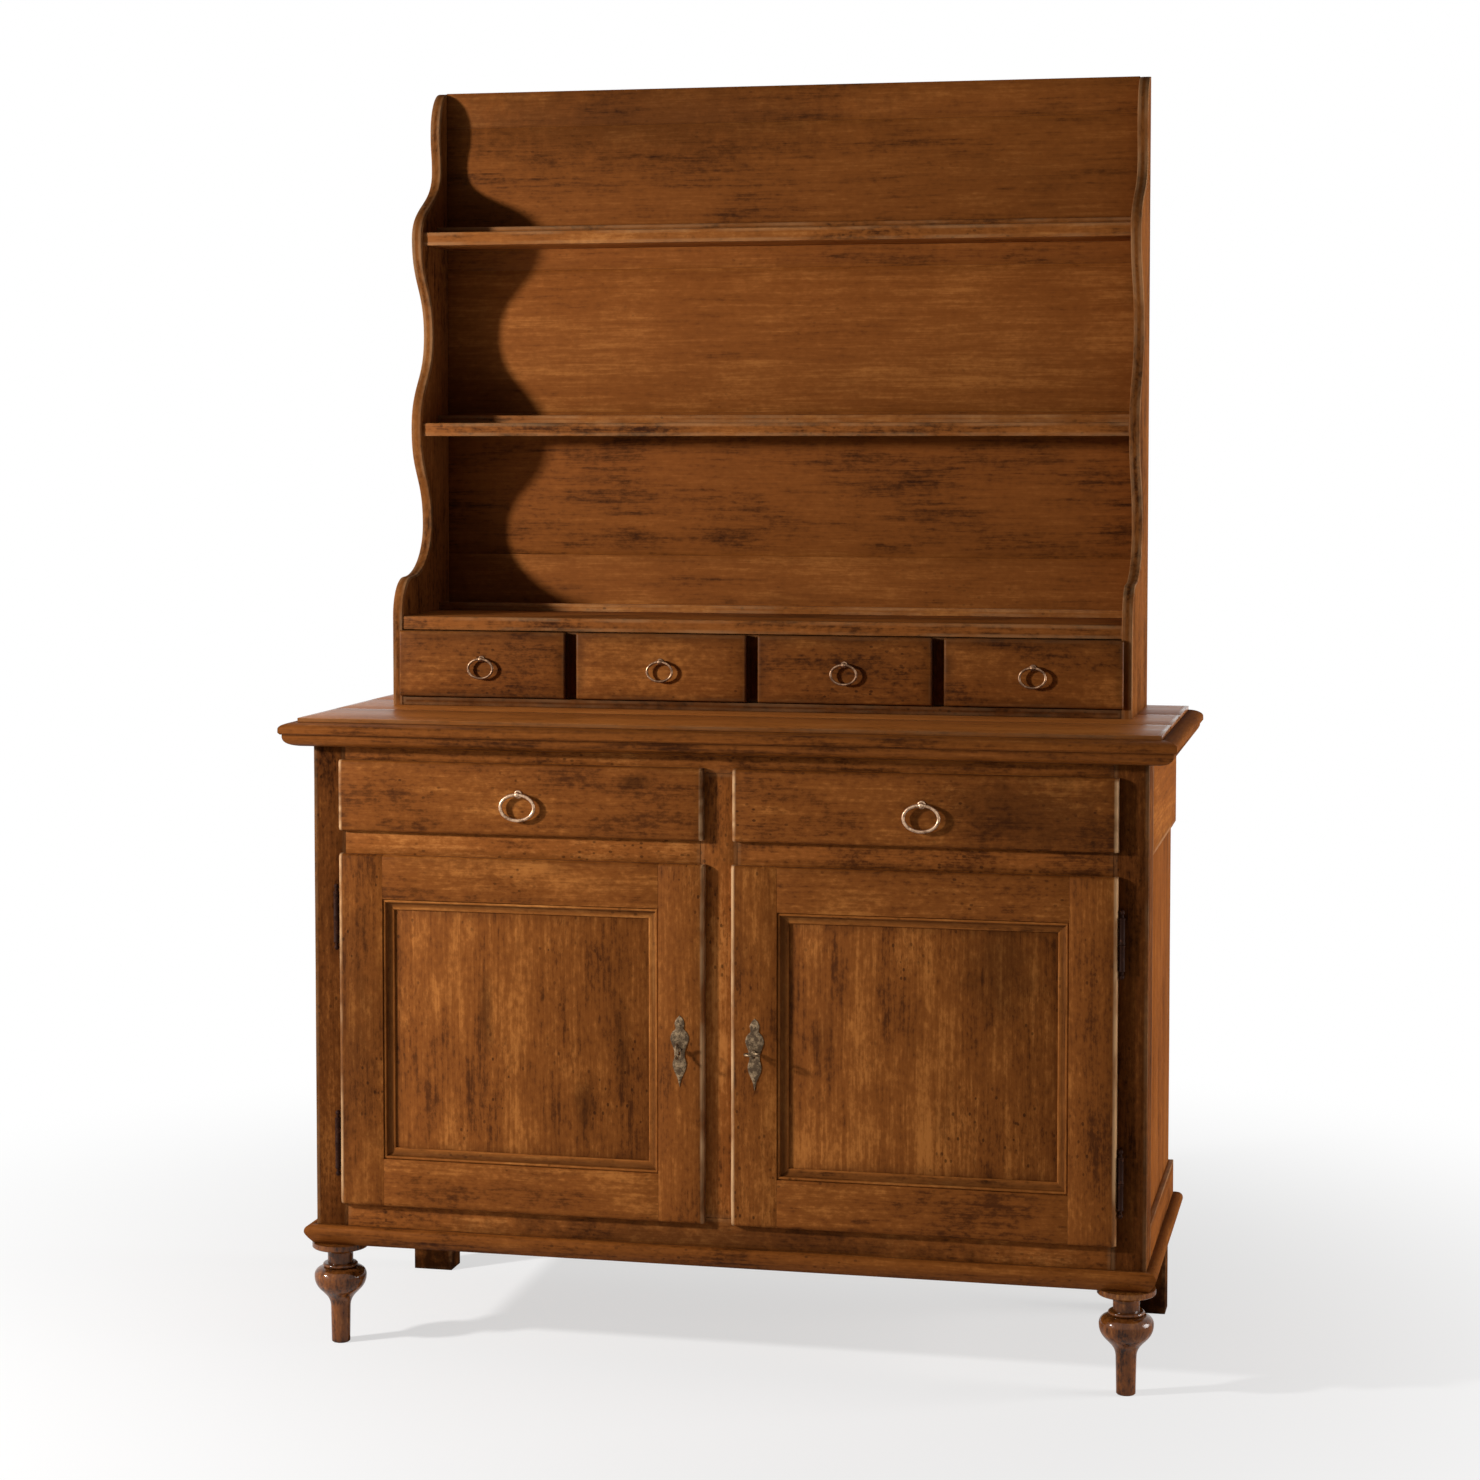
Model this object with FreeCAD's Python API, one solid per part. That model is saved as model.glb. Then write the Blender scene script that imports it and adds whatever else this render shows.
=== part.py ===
import FreeCAD
import Part
import os

# A kitchen dresser: a base cupboard with two doors and two wide drawers, and an open
# plate rack with four small drawers that stands on it. Lengths are in millimetres.
# +X is to the right, +Y to the back and +Z up. The origin is on the floor, below the
# middle of the worktop. Doors and drawers are shut and the locks are open.

# Base carcass
carcass_width = 1300.0
carcass_depth = 500.0
leg_height = 161.0
worktop_height = 992.0
front_post_width = 52.0
front_post_depth = 70.0
rear_post_width = 75.0
rear_post_depth = 48.0
front_rail_thickness = 25.0
centre_stile_width = 57.0
side_rail_thickness = 22.0
side_top_rail_height = 164.0
side_bottom_rail_height = 84.0
side_panel_thickness = 10.0
side_panel_recess = 8.0
panel_tongue = 7.0
bottom_rail_height = 75.0
top_rail_height = 48.0
middle_rail_height = 52.0
drawer_opening_height = 95.0
base_floor_thickness = 18.0
base_floor_drop = 3.0
base_back_thickness = 8.0
base_back_rebate = 12.0
inner_shelf_thickness = 18.0
inner_shelf_rise = 250.0
inner_shelf_front_gap = 60.0
cleat_height = 24.0
cleat_width = 20.0

# Worktop with its thumb-moulded edge, and the moulding under it
worktop_thickness = 25.0
worktop_overhang = 43.0
nose_run = 24.0
nose_quirk = 6.0
nose_tip_drop = 16.0
nose_under_step = 3.0
under_moulding_height = 20.0
under_moulding_top_width = 38.0
under_moulding_foot_width = 28.0
under_moulding_fillet = 5.0

# Plinth moulding round the bottom of the carcass
plinth_height = 31.0
plinth_projection = 16.0
plinth_fillet = 4.0
plinth_nose_drop = 10.0
plinth_foot_width = 3.0

# Turned front feet: radii and heights above the floor
foot_side_inset = 31.0
foot_front_inset = 22.0
foot_toe_radius = 14.5
foot_ankle_radius = 15.5
foot_bulb_radius = 41.0
foot_ring_radius = 27.5
foot_neck_radius = 20.0
foot_collar_radius = 44.0
foot_ankle_height = 56.0
foot_bulb_height = 106.0
foot_ring_height = 121.0
foot_ring_width = 6.0
foot_neck_height = 141.0
foot_collar_height = 9.0
foot_peg_radius = 11.0
foot_peg_length = 35.0

# Lipped fronts of the doors and wide drawers
lip_proud = 13.0
lip_overlap = 8.0
lip_round = 6.0
lip_gap = 0.4
front_inner_depth = 9.0
opening_clearance = 2.0
drawer_lip_overlap_at_centre = 6.0

# Doors
door_stile_width = 72.0
door_rail_width = 69.0
door_bottom_rail_width = 75.0
door_panel_thickness = 8.0
door_panel_recess = 12.0
door_moulding_width = 17.0
door_moulding_sink = 2.0
door_moulding_bead = 5.0
door_moulding_foot = 3.0

# Barrel hinges with turned ends
hinge_length = 104.0
hinge_barrel_radius = 5.0
hinge_pin_radius = 2.5
hinge_pin_clearance = 0.05
hinge_pin_length = 30.0
hinge_tip_length = 12.0
hinge_tip_neck_radius = 2.6
hinge_tip_ball_radius = 4.0
hinge_split = 0.3
hinge_shank_radius = 2.8
hinge_shank_length = 24.0
hinge_post_gap = 0.6
hinge_door_gap = 0.5
upper_hinge_drop = 100.0
lower_hinge_rise = 95.0

# Locks, keys and keyhole plates
lock_height = 497.0
lock_width = 52.0
lock_case_height = 34.0
lock_case_depth = 14.0
lock_wall = 1.5
lock_keyhole_drop = 4.0
bolt_height = 10.0
bolt_thickness = 6.0
bolt_length = 49.5
bolt_throw = 10.0
bolt_clearance = 0.3
bolt_notch_start = 7.0
bolt_notch_width = 11.0
bolt_notch_depth = 5.5
bolt_rise = 5.0
strike_thickness = 1.5
strike_height = 44.0
strike_depth = 18.0
strike_clearance = 1.5
keyhole_inset = 38.0
key_shank_radius = 2.4
key_hole_clearance = 0.4
key_bow_length = 18.0
key_bow_width = 26.0
key_bow_rim = 3.6
key_bow_thickness = 3.6
key_bit_reach = 9.0
key_bit_thickness = 2.0
key_bit_length = 4.0
key_stand_off = 28.0
escutcheon_height = 110.0
escutcheon_width = 29.0
escutcheon_thickness = 1.5

# Drawer boxes of the wide drawers
drawer_side_thickness = 11.0
drawer_back_thickness = 10.0
drawer_bottom_thickness = 5.0
drawer_bottom_rise = 8.0
drawer_groove = 4.0
drawer_top_clearance = 6.0
drawer_box_length = 420.0
runner_width = 34.0
runner_thickness = 22.0
runner_gap = 0.4
guide_height = 20.0
guide_clearance = 2.0
guide_width = 14.0

# Ring pulls: wide drawers, then small drawers
wide_ring_width = 59.0
wide_ring_height = 45.0
wide_ring_wire_radius = 2.7
small_ring_width = 45.0
small_ring_height = 35.0
small_ring_wire_radius = 2.0
ring_eye_clearance = 0.6
ring_eye_wall = 1.4
ring_stand_off = 7.0
ring_stem_radius_share = 0.55
ring_rose_radius_share = 1.35
ring_rose_thickness = 2.0
ring_tail_length = 12.0
ring_eye_rise = 9.0

# Plate rack
rack_width = 1203.0
rack_depth = 260.0
rack_height = 1017.0
rack_side_thickness = 17.0
rack_shelf_thickness = 22.0
rack_shelf_housing = 5.0
rack_floor_thickness = 14.0
rack_divider_thickness = 26.0
rack_divider_setback = 9.0
drawer_shelf_rise = 145.0
middle_shelf_rise = 460.0
upper_shelf_rise = 775.0
middle_shelf_depth = 155.0
upper_shelf_depth = 146.0
drawer_shelf_setback = 2.0
rack_back_thickness = 14.0
rack_back_board_height = 240.0
rack_crown_board_height = 59.0
plate_strip_height = 13.0
plate_strip_thickness = 10.0
plate_strip_from_back = 60.0

# Curved front edge of the rack's sides: depths from the back, heights above the worktop
shoulder_height = 207.0
shoulder_depth = 208.0
lower_waist_depth = 105.0
lower_belly_depth = 161.0
upper_waist_depth = 94.0
upper_belly_depth = 154.0
neck_depth = 47.0
neck_drop = 134.0
crest_depth = 53.0
crest_drop = 72.0
crest_flat = 3.0
curve_handle_share = 0.5
quarter_handle_share = 0.55

# Small drawers
small_lip_proud = 8.0
small_lip_overlap = 4.0
small_inner_depth = 10.0
small_front_gap = 1.0
small_front_round = 4.0
small_side_thickness = 8.0
small_back_thickness = 8.0
small_bottom_thickness = 4.0
small_bottom_rise = 5.0
small_box_length = 200.0
small_box_drop = 12.0
small_drawer_count = 4

# Cuts run this far past the faces that they open, and places closer than this are the same
overrun = 5.0
same_place = 0.001

Vector = FreeCAD.Vector
UP = Vector(0, 0, 1)
RIGHT = Vector(1, 0, 0)
BACK = Vector(0, 1, 0)
ORIGIN = Vector(0, 0, 0)

# Places worked out from the sizes
half_width = carcass_width / 2
nose_y = -(carcass_depth + worktop_overhang) / 2
front_y = nose_y + worktop_overhang
back_y = front_y + carcass_depth
carcass_top = worktop_height - worktop_thickness
post_inner = half_width - front_post_width
stile_half = centre_stile_width / 2
door_opening_bottom = leg_height + bottom_rail_height
top_rail_bottom = carcass_top - top_rail_height
drawer_opening_bottom = top_rail_bottom - drawer_opening_height
door_opening_top = drawer_opening_bottom - middle_rail_height
rail_back_y = front_y + front_rail_thickness
rear_post_front_y = back_y - rear_post_depth
front_post_back_y = front_y + front_post_depth
lip_front_y = front_y - lip_proud
lip_back_y = front_y - lip_gap
inner_back_y = front_y + front_inner_depth


def box(x_low, x_high, y_low, y_high, z_low, z_high):
    """A block between two corners."""
    return Part.makeBox(x_high - x_low, y_high - y_low, z_high - z_low, Vector(x_low, y_low, z_low))


def mirrored(shape):
    """The same shape on the other side of the dresser."""
    return shape.mirror(ORIGIN, RIGHT)


def pair(shape):
    """The right-hand shape and its left-hand twin."""
    return [shape, mirrored(shape)]


def cylinder(radius, length, start, direction):
    return Part.makeCylinder(radius, length, start, direction)


def line(start, end):
    return Part.LineSegment(start, end).toShape()


def curve(*poles):
    """A Bezier curve on the given poles."""
    bezier = Part.BezierCurve()
    bezier.setPoles(list(poles))
    return bezier.toShape()


def solid_between(first_wire, last_wire):
    """A ruled solid from one end outline to the other."""
    return Part.makeLoft([first_wire, last_wire], True, True)


def write(node, solids):
    """One file for each named piece or group of like pieces."""
    shape = solids[0] if len(solids) == 1 else Part.makeCompound(solids)
    shape.exportStep("parts/" + node + ".step")
    valid = all(solid.isValid() for solid in solids)
    count = sum(len(solid.Solids) for solid in solids)
    print(node, "solids", count, "valid", valid, "litres", round(shape.Volume / 1e6, 4))


def rounded_front(x_low, x_high, y_low, y_high, z_low, z_high, radius):
    """A block whose front edges are rounded over all round."""
    block = box(x_low, x_high, y_low, y_high, z_low, z_high)
    front_edges = [edge for edge in block.Edges if edge.BoundBox.YMax - y_low < same_place]
    return block.makeFillet(min(radius, (y_high - y_low) / 2), front_edges)


def corner_map(side):
    """Takes a moulding's profile (projection along X, height along Z) to a front mitre."""
    return FreeCAD.Matrix(side, 0, 0, side * half_width, -1, 1, 0, front_y, 0, 0, 1, 0, 0, 0, 0, 1)


def back_map(side):
    """Takes a moulding's profile to the square end at the back of one side."""
    return FreeCAD.Matrix(side, 0, 0, side * half_width, 0, 1, 0, back_y, 0, 0, 1, 0, 0, 0, 0, 1)


def mouldings_round_carcass(profile):
    """A front run and two side runs of one profile, mitred at the front corners."""
    right_mitre = profile.transformGeometry(corner_map(1))
    left_mitre = profile.transformGeometry(corner_map(-1))
    right_end = profile.transformGeometry(back_map(1))
    left_end = profile.transformGeometry(back_map(-1))
    front_run = solid_between(left_mitre, right_mitre)
    return [front_run, solid_between(right_mitre, right_end), solid_between(left_end, left_mitre)]


def profile_point(projection, height):
    return Vector(projection, 0, height)


# Worktop: a slab with a thumb moulding on the front and both ends
def make_worktop():
    top = worktop_height
    flat_edge = worktop_overhang - nose_run
    tip_z = top - nose_tip_drop
    shelf_z = top - nose_quirk
    corners = [
        profile_point(0, carcass_top),
        profile_point(worktop_overhang - nose_under_step, carcass_top),
        profile_point(worktop_overhang, carcass_top + nose_under_step),
        profile_point(worktop_overhang, tip_z),
        profile_point(flat_edge, shelf_z),
        profile_point(flat_edge, top),
        profile_point(0, top),
    ]
    edges = [line(corners[0], corners[1]), line(corners[1], corners[2]), line(corners[2], corners[3])]
    handle_out = profile_point(worktop_overhang, tip_z + (shelf_z - tip_z) * quarter_handle_share)
    handle_in = profile_point(flat_edge + nose_run * quarter_handle_share, shelf_z)
    edges.append(curve(corners[3], handle_out, handle_in, corners[4]))
    edges += [line(corners[4], corners[5]), line(corners[5], corners[6]), line(corners[6], corners[0])]
    slab = box(-half_width, half_width, front_y, back_y, carcass_top, top)
    return slab.fuse(mouldings_round_carcass(Part.Wire(edges))).removeSplitter()


# Moulding under the worktop, rounded in below a small fillet
def make_under_moulding():
    low = carcass_top - under_moulding_height
    fillet_z = carcass_top - under_moulding_fillet
    wide = under_moulding_top_width
    narrow = under_moulding_foot_width
    corners = [
        profile_point(0, low),
        profile_point(narrow, low),
        profile_point(wide, fillet_z),
        profile_point(wide, carcass_top),
        profile_point(0, carcass_top),
    ]
    rounding = profile_point(wide, low)
    edges = [line(corners[0], corners[1]), curve(corners[1], rounding, corners[2])]
    edges += [line(corners[2], corners[3]), line(corners[3], corners[4]), line(corners[4], corners[0])]
    return mouldings_round_carcass(Part.Wire(edges))


# Plinth moulding: a rounded nose that falls back towards the feet
def make_plinth():
    top = leg_height + plinth_height
    nose_z = top - plinth_nose_drop
    corners = [
        profile_point(0, leg_height),
        profile_point(plinth_foot_width, leg_height),
        profile_point(plinth_projection, nose_z),
        profile_point(plinth_fillet, top),
        profile_point(0, top),
    ]
    belly = profile_point(plinth_projection, leg_height + plinth_height / 2)
    crown = profile_point(plinth_projection, top)
    edges = [line(corners[0], corners[1]), curve(corners[1], belly, corners[2])]
    edges += [curve(corners[2], crown, corners[3]), line(corners[3], corners[4]), line(corners[4], corners[0])]
    return mouldings_round_carcass(Part.Wire(edges))


# Barrel hinges: the lower half with the pin goes into the post, the upper half into the door
hinge_x = half_width - front_post_width + lip_overlap + hinge_door_gap + hinge_barrel_radius
hinge_y = front_y - hinge_post_gap - hinge_barrel_radius


def hinge_tip(base_z, direction):
    """A turned end on a barrel: a short neck and a ball."""
    start = Vector(hinge_x, hinge_y, base_z)
    neck = cylinder(hinge_tip_neck_radius, hinge_tip_length - hinge_tip_ball_radius, start, UP * direction)
    ball_z = base_z + direction * (hinge_tip_length - hinge_tip_ball_radius)
    return neck.fuse(Part.makeSphere(hinge_tip_ball_radius, Vector(hinge_x, hinge_y, ball_z)))


def barrel_length():
    return (hinge_length - hinge_split) / 2 - hinge_tip_length


def post_hinge_half(centre_z):
    length = barrel_length()
    low = centre_z - hinge_split / 2 - length
    barrel = cylinder(hinge_barrel_radius, length, Vector(hinge_x, hinge_y, low), UP)
    pin = cylinder(hinge_pin_radius, length + hinge_split + hinge_pin_length, Vector(hinge_x, hinge_y, low), UP)
    return barrel.fuse([pin, hinge_tip(low, -1), post_hinge_shank(centre_z)]).removeSplitter()


def post_hinge_shank(centre_z):
    """The pointed screw of the lower half, straight back into the post."""
    shank_z = centre_z - hinge_split / 2 - barrel_length() / 2
    length = hinge_barrel_radius + hinge_post_gap + hinge_shank_length
    return cylinder(hinge_shank_radius, length, Vector(hinge_x, hinge_y, shank_z), BACK)


def door_hinge_half(centre_z):
    length = barrel_length()
    low = centre_z + hinge_split / 2
    barrel = cylinder(hinge_barrel_radius, length, Vector(hinge_x, hinge_y, low), UP)
    bore_radius = hinge_pin_radius + hinge_pin_clearance
    bore = cylinder(bore_radius, overrun + hinge_pin_length + hinge_split, Vector(hinge_x, hinge_y, low - overrun), UP)
    body = barrel.fuse([hinge_tip(low + length, 1), door_hinge_shank(centre_z)]).removeSplitter()
    return body.cut(bore)


def door_hinge_shank(centre_z):
    """The screw of the upper half, sideways into the edge of the door."""
    shank_z = centre_z + hinge_split / 2 + barrel_length() / 2
    start = hinge_x - (hinge_barrel_radius + hinge_pin_radius) / 2
    length = start - (hinge_x - hinge_barrel_radius - hinge_door_gap) + hinge_shank_length
    return cylinder(hinge_shank_radius, length, Vector(start, hinge_y, shank_z), -RIGHT)


hinge_heights = [door_opening_top + lip_overlap - upper_hinge_drop,
                 door_opening_bottom - lip_overlap + lower_hinge_rise]


# Front feet, turned, with a peg that enters the post
foot_centre = Vector(half_width - foot_side_inset, front_y + foot_front_inset, 0)


def make_foot():
    ring_low = foot_ring_height
    ring_high = ring_low + foot_ring_width
    collar_low = leg_height - foot_collar_height
    outline = [
        profile_point(0, 0),
        profile_point(foot_toe_radius, 0),
        profile_point(foot_ankle_radius, foot_ankle_height),
        profile_point(foot_bulb_radius, foot_bulb_height),
        profile_point(foot_neck_radius, ring_low),
        profile_point(foot_ring_radius, ring_low),
        profile_point(foot_ring_radius, ring_high),
        profile_point(foot_neck_radius, ring_high),
        profile_point(foot_neck_radius, foot_neck_height),
        profile_point(foot_collar_radius, collar_low),
        profile_point(foot_collar_radius, leg_height),
        profile_point(foot_peg_radius, leg_height),
        profile_point(foot_peg_radius, leg_height + foot_peg_length),
        profile_point(0, leg_height + foot_peg_length),
    ]
    swell_low = profile_point(foot_ankle_radius, (foot_ankle_height + foot_bulb_height) / 2)
    swell_high = profile_point(foot_bulb_radius, (foot_ankle_height + foot_bulb_height) / 2)
    dome = profile_point(foot_bulb_radius, ring_low)
    hollow = profile_point(foot_neck_radius, collar_low)
    edges = [line(outline[0], outline[1]), line(outline[1], outline[2])]
    edges.append(curve(outline[2], swell_low, swell_high, outline[3]))
    edges.append(curve(outline[3], dome, outline[4]))
    for start, end in zip(outline[4:8], outline[5:9]):
        edges.append(line(start, end))
    edges.append(curve(outline[8], hollow, outline[9]))
    for start, end in zip(outline[9:], outline[10:] + outline[:1]):
        edges.append(line(start, end))
    turned = Part.Face(Part.Wire(edges)).revolve(ORIGIN, UP, 360)
    turned.translate(foot_centre)
    return turned


def foot_peg():
    start = foot_centre + UP * leg_height
    return cylinder(foot_peg_radius, foot_peg_length, start, UP)


# Sides of the base: posts, rails and a recessed panel held in grooves
def make_side_panel():
    outer = half_width - side_panel_recess
    low = leg_height + side_bottom_rail_height - panel_tongue
    high = carcass_top - side_top_rail_height + panel_tongue
    return box(outer - side_panel_thickness, outer, front_post_back_y - panel_tongue,
               rear_post_front_y + panel_tongue, low, high)


def make_base_back():
    reach = half_width - rear_post_width + base_back_rebate
    return box(-reach, reach, back_y - base_back_thickness, back_y, leg_height, carcass_top)


def make_front_post(panel):
    post = box(post_inner, half_width, front_y, front_post_back_y, leg_height, carcass_top)
    holes = [panel, foot_peg()] + [post_hinge_shank(height) for height in hinge_heights]
    return post.cut(holes)


def make_side_rails(panel):
    """A top and a bottom rail, which run on to the back and are let into the rear post."""
    inner = half_width - side_rail_thickness
    top_low = carcass_top - side_top_rail_height
    bottom_high = leg_height + side_bottom_rail_height
    top = box(inner, half_width, front_post_back_y, back_y, top_low, carcass_top)
    bottom = box(inner, half_width, front_post_back_y, back_y, leg_height, bottom_high)
    return [top.cut(panel), bottom.cut(panel)]


def make_rear_post(panel, rails):
    """A post whose outer face is in line with the panel's, and whose foot is the back leg."""
    outer = half_width - side_panel_recess
    post = box(half_width - rear_post_width, outer, rear_post_front_y, back_y, 0, carcass_top)
    return post.cut([panel, make_base_back()] + rails)


# Front frame: top rail, bottom rail, centre stile and the two rails between drawers and doors
def make_front_frame(bolts_and_plates):
    top = box(-post_inner, post_inner, front_y, rail_back_y, top_rail_bottom, carcass_top)
    bottom = box(-post_inner, post_inner, front_y, rail_back_y, leg_height, door_opening_bottom)
    stile = box(-stile_half, stile_half, front_y, rail_back_y, door_opening_bottom, top_rail_bottom)
    middle = box(stile_half, post_inner, front_y, rail_back_y, door_opening_top, drawer_opening_bottom)
    return [top, bottom, stile.cut(bolts_and_plates)] + pair(middle)


# Locks: a case on the back of each door, a bolt, a key and the plates round them
key_x = stile_half - lip_overlap + keyhole_inset
lock_inner_x = stile_half + opening_clearance
bolt_low = lock_height + bolt_rise
bolt_front_y = inner_back_y + (lock_case_depth - bolt_thickness) / 2
bolt_back_y = bolt_front_y + bolt_thickness


def keyhole(y_low, y_high):
    """A round hole with a slot below it, as wide as the key's bit."""
    radius = key_shank_radius + key_hole_clearance
    half_slot = key_bit_thickness / 2 + key_hole_clearance
    reach = key_bit_reach + key_hole_clearance
    hole = cylinder(radius, y_high - y_low, Vector(key_x, y_low, lock_height), BACK)
    slot = box(key_x - half_slot, key_x + half_slot, y_low, y_high, lock_height - reach, lock_height)
    return hole.fuse(slot)


def bolt_space(clearance, x_low, x_high):
    """The room a bolt needs in a plate or a mortise."""
    return box(x_low, x_high, bolt_front_y - clearance, bolt_back_y + clearance,
               bolt_low - clearance, bolt_low + bolt_height + clearance)


def make_lock_case():
    low = lock_height - key_bit_reach - lock_keyhole_drop
    high = low + lock_case_height
    case = box(lock_inner_x, lock_inner_x + lock_width, inner_back_y, inner_back_y + lock_case_depth, low, high)
    room = box(lock_inner_x + lock_wall, lock_inner_x + lock_width - lock_wall, inner_back_y + lock_wall,
               inner_back_y + lock_case_depth - lock_wall, low + lock_wall, high - lock_wall)
    slot = bolt_space(bolt_clearance, lock_inner_x - overrun, lock_inner_x + lock_wall + overrun)
    return case.cut([room, slot, keyhole(inner_back_y - overrun, inner_back_y + lock_wall + overrun)])


def make_bolt():
    start = lock_inner_x + bolt_clearance
    bar = box(start, start + bolt_length, bolt_front_y, bolt_back_y, bolt_low, bolt_low + bolt_height)
    notch_x = key_x + bolt_notch_start
    notch = box(notch_x, notch_x + bolt_notch_width, bolt_front_y - overrun, bolt_back_y + overrun,
                bolt_low - overrun, bolt_low + bolt_notch_depth)
    return bar.cut(notch)


def strike_places():
    middle_z = bolt_low + bolt_height / 2
    middle_y = (bolt_front_y + bolt_back_y) / 2
    plate = box(stile_half - strike_thickness, stile_half, middle_y - strike_depth / 2, middle_y + strike_depth / 2,
                middle_z - strike_height / 2, middle_z + strike_height / 2)
    mortise = bolt_space(strike_clearance, stile_half - bolt_throw, stile_half + overrun)
    return plate, mortise


def make_key(quarter_turns):
    """A key along Y; its bow and bit lie flat, or upright after a quarter turn."""
    tip_y = bolt_back_y
    bow_front = lip_front_y - key_stand_off
    bow_base = Vector(0, bow_front + key_bow_length / 2, -key_bow_thickness / 2)
    bow = oval_plate(bow_base, key_bow_width / 2, key_bow_length / 2)
    bow = bow.cut(oval_plate(bow_base, key_bow_width / 2 - key_bow_rim, key_bow_length / 2 - key_bow_rim))
    shank_start = bow_front + key_bow_length - key_bow_rim / 2
    shank = cylinder(key_shank_radius, tip_y - shank_start, Vector(0, shank_start, 0), BACK)
    bit_y = (bolt_front_y + bolt_back_y - key_bit_length) / 2
    bit = box(0, key_bit_reach, bit_y, bit_y + key_bit_length, -key_bit_thickness / 2, key_bit_thickness / 2)
    key = bow.fuse([shank, bit]).removeSplitter()
    key.rotate(ORIGIN, BACK, 90 * quarter_turns)
    return key


def oval_plate(base, half_width_across, half_length_along):
    """A flat oval as thick as a key's bow, wider than it is long."""
    oval = Part.Ellipse(base + RIGHT * half_width_across, base + BACK * half_length_along, base)
    return Part.Face(Part.Wire([oval.toShape()])).extrude(UP * key_bow_thickness)


def oval_ring(centre, half_long, half_short, wire_radius, long_axis, short_axis):
    """A closed oval of round wire, lying in the plane of its two axes."""
    if half_long >= half_short:
        oval = Part.Ellipse(centre + long_axis * half_long, centre + short_axis * half_short, centre)
    else:
        oval = Part.Ellipse(centre + short_axis * half_short, centre + long_axis * half_long, centre)
    path = Part.Wire([oval.toShape()])
    start = oval.value(0)
    tangent = oval.tangent(0)[0]
    section = Part.Wire([Part.Circle(start, tangent, wire_radius).toShape()])
    return path.makePipeShell([section], True, True)


# Half-widths of the keyhole plate as shares of its width, against shares of its height
escutcheon_shares = [(0.0, 0.0), (0.12, 0.22), (0.24, 0.62), (0.33, 0.74), (0.43, 0.55), (0.52, 0.62),
                     (0.61, 0.86), (0.68, 1.0), (0.76, 0.80), (0.82, 0.42), (0.89, 0.52), (0.95, 0.34), (1.0, 0.0)]
escutcheon_keyhole_share = 0.53
escutcheon_piercing_share = 0.88
escutcheon_piercing_radius_share = 0.07


def make_escutcheon():
    base_z = lock_height - escutcheon_height * escutcheon_keyhole_share
    back = lip_front_y - escutcheon_thickness

    def side_curve(side):
        points = [Vector(key_x + side * width * escutcheon_width / 2, back, base_z + height * escutcheon_height)
                  for height, width in escutcheon_shares]
        spline = Part.BSplineCurve()
        spline.interpolate(points)
        return spline.toShape()

    face = Part.Face(Part.Wire([side_curve(1), side_curve(-1)]))
    plate = face.extrude(BACK * escutcheon_thickness)
    piercing_z = base_z + escutcheon_height * escutcheon_piercing_share
    piercing = cylinder(escutcheon_width * escutcheon_piercing_radius_share, escutcheon_thickness + 2 * overrun,
                        Vector(key_x, back - overrun, piercing_z), BACK)
    return plate.cut([keyhole(back - overrun, lip_front_y + overrun), piercing])


# Doors: a lipped frame of stiles and rails, a panel in its grooves and a mitred moulding
door_x_low = stile_half - lip_overlap
door_x_high = post_inner + lip_overlap
door_z_low = door_opening_bottom - lip_overlap
door_z_high = door_opening_top + lip_overlap
door_sight = (door_x_low + door_stile_width, door_x_high - door_stile_width,
              door_z_low + door_bottom_rail_width, door_z_high - door_rail_width)
door_panel_y = lip_front_y + door_panel_recess


def make_door_panel():
    x_low, x_high, z_low, z_high = door_sight
    return box(x_low - panel_tongue, x_high + panel_tongue, door_panel_y, door_panel_y + door_panel_thickness,
               z_low - panel_tongue, z_high + panel_tongue)


def make_door_frame():
    x_low, x_high, z_low, z_high = door_sight
    lip = rounded_front(door_x_low, door_x_high, lip_front_y, lip_back_y, door_z_low, door_z_high, lip_round)
    inner = box(stile_half + opening_clearance, post_inner - opening_clearance, lip_back_y, inner_back_y,
                door_opening_bottom + opening_clearance, door_opening_top - opening_clearance)
    sight = box(x_low, x_high, lip_front_y - overrun, inner_back_y + overrun, z_low, z_high)
    holes = [sight, make_door_panel(), keyhole(lip_front_y - overrun, inner_back_y + overrun)]
    holes += [door_hinge_shank(height) for height in hinge_heights]
    whole = lip.fuse(inner).removeSplitter().cut(holes)
    front, back = lip_front_y - overrun, inner_back_y + overrun
    inner_stile = box(door_x_low, x_low, front, back, door_z_low, door_z_high)
    outer_stile = box(x_high, door_x_high, front, back, door_z_low, door_z_high)
    bottom_rail = box(x_low, x_high, front, back, door_z_low, z_low)
    top_rail = box(x_low, x_high, front, back, z_high, door_z_high)
    return [whole.common(member) for member in [inner_stile, outer_stile, bottom_rail, top_rail]]


def sight_corner_map(x, z, inward_x, inward_z):
    """Takes a profile (inset along X, depth along Z) to one mitre of the door's sight opening."""
    return FreeCAD.Matrix(inward_x, 0, 0, x, 0, 0, 1, 0, inward_z, 1, 0, z, 0, 0, 0, 1)


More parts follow.
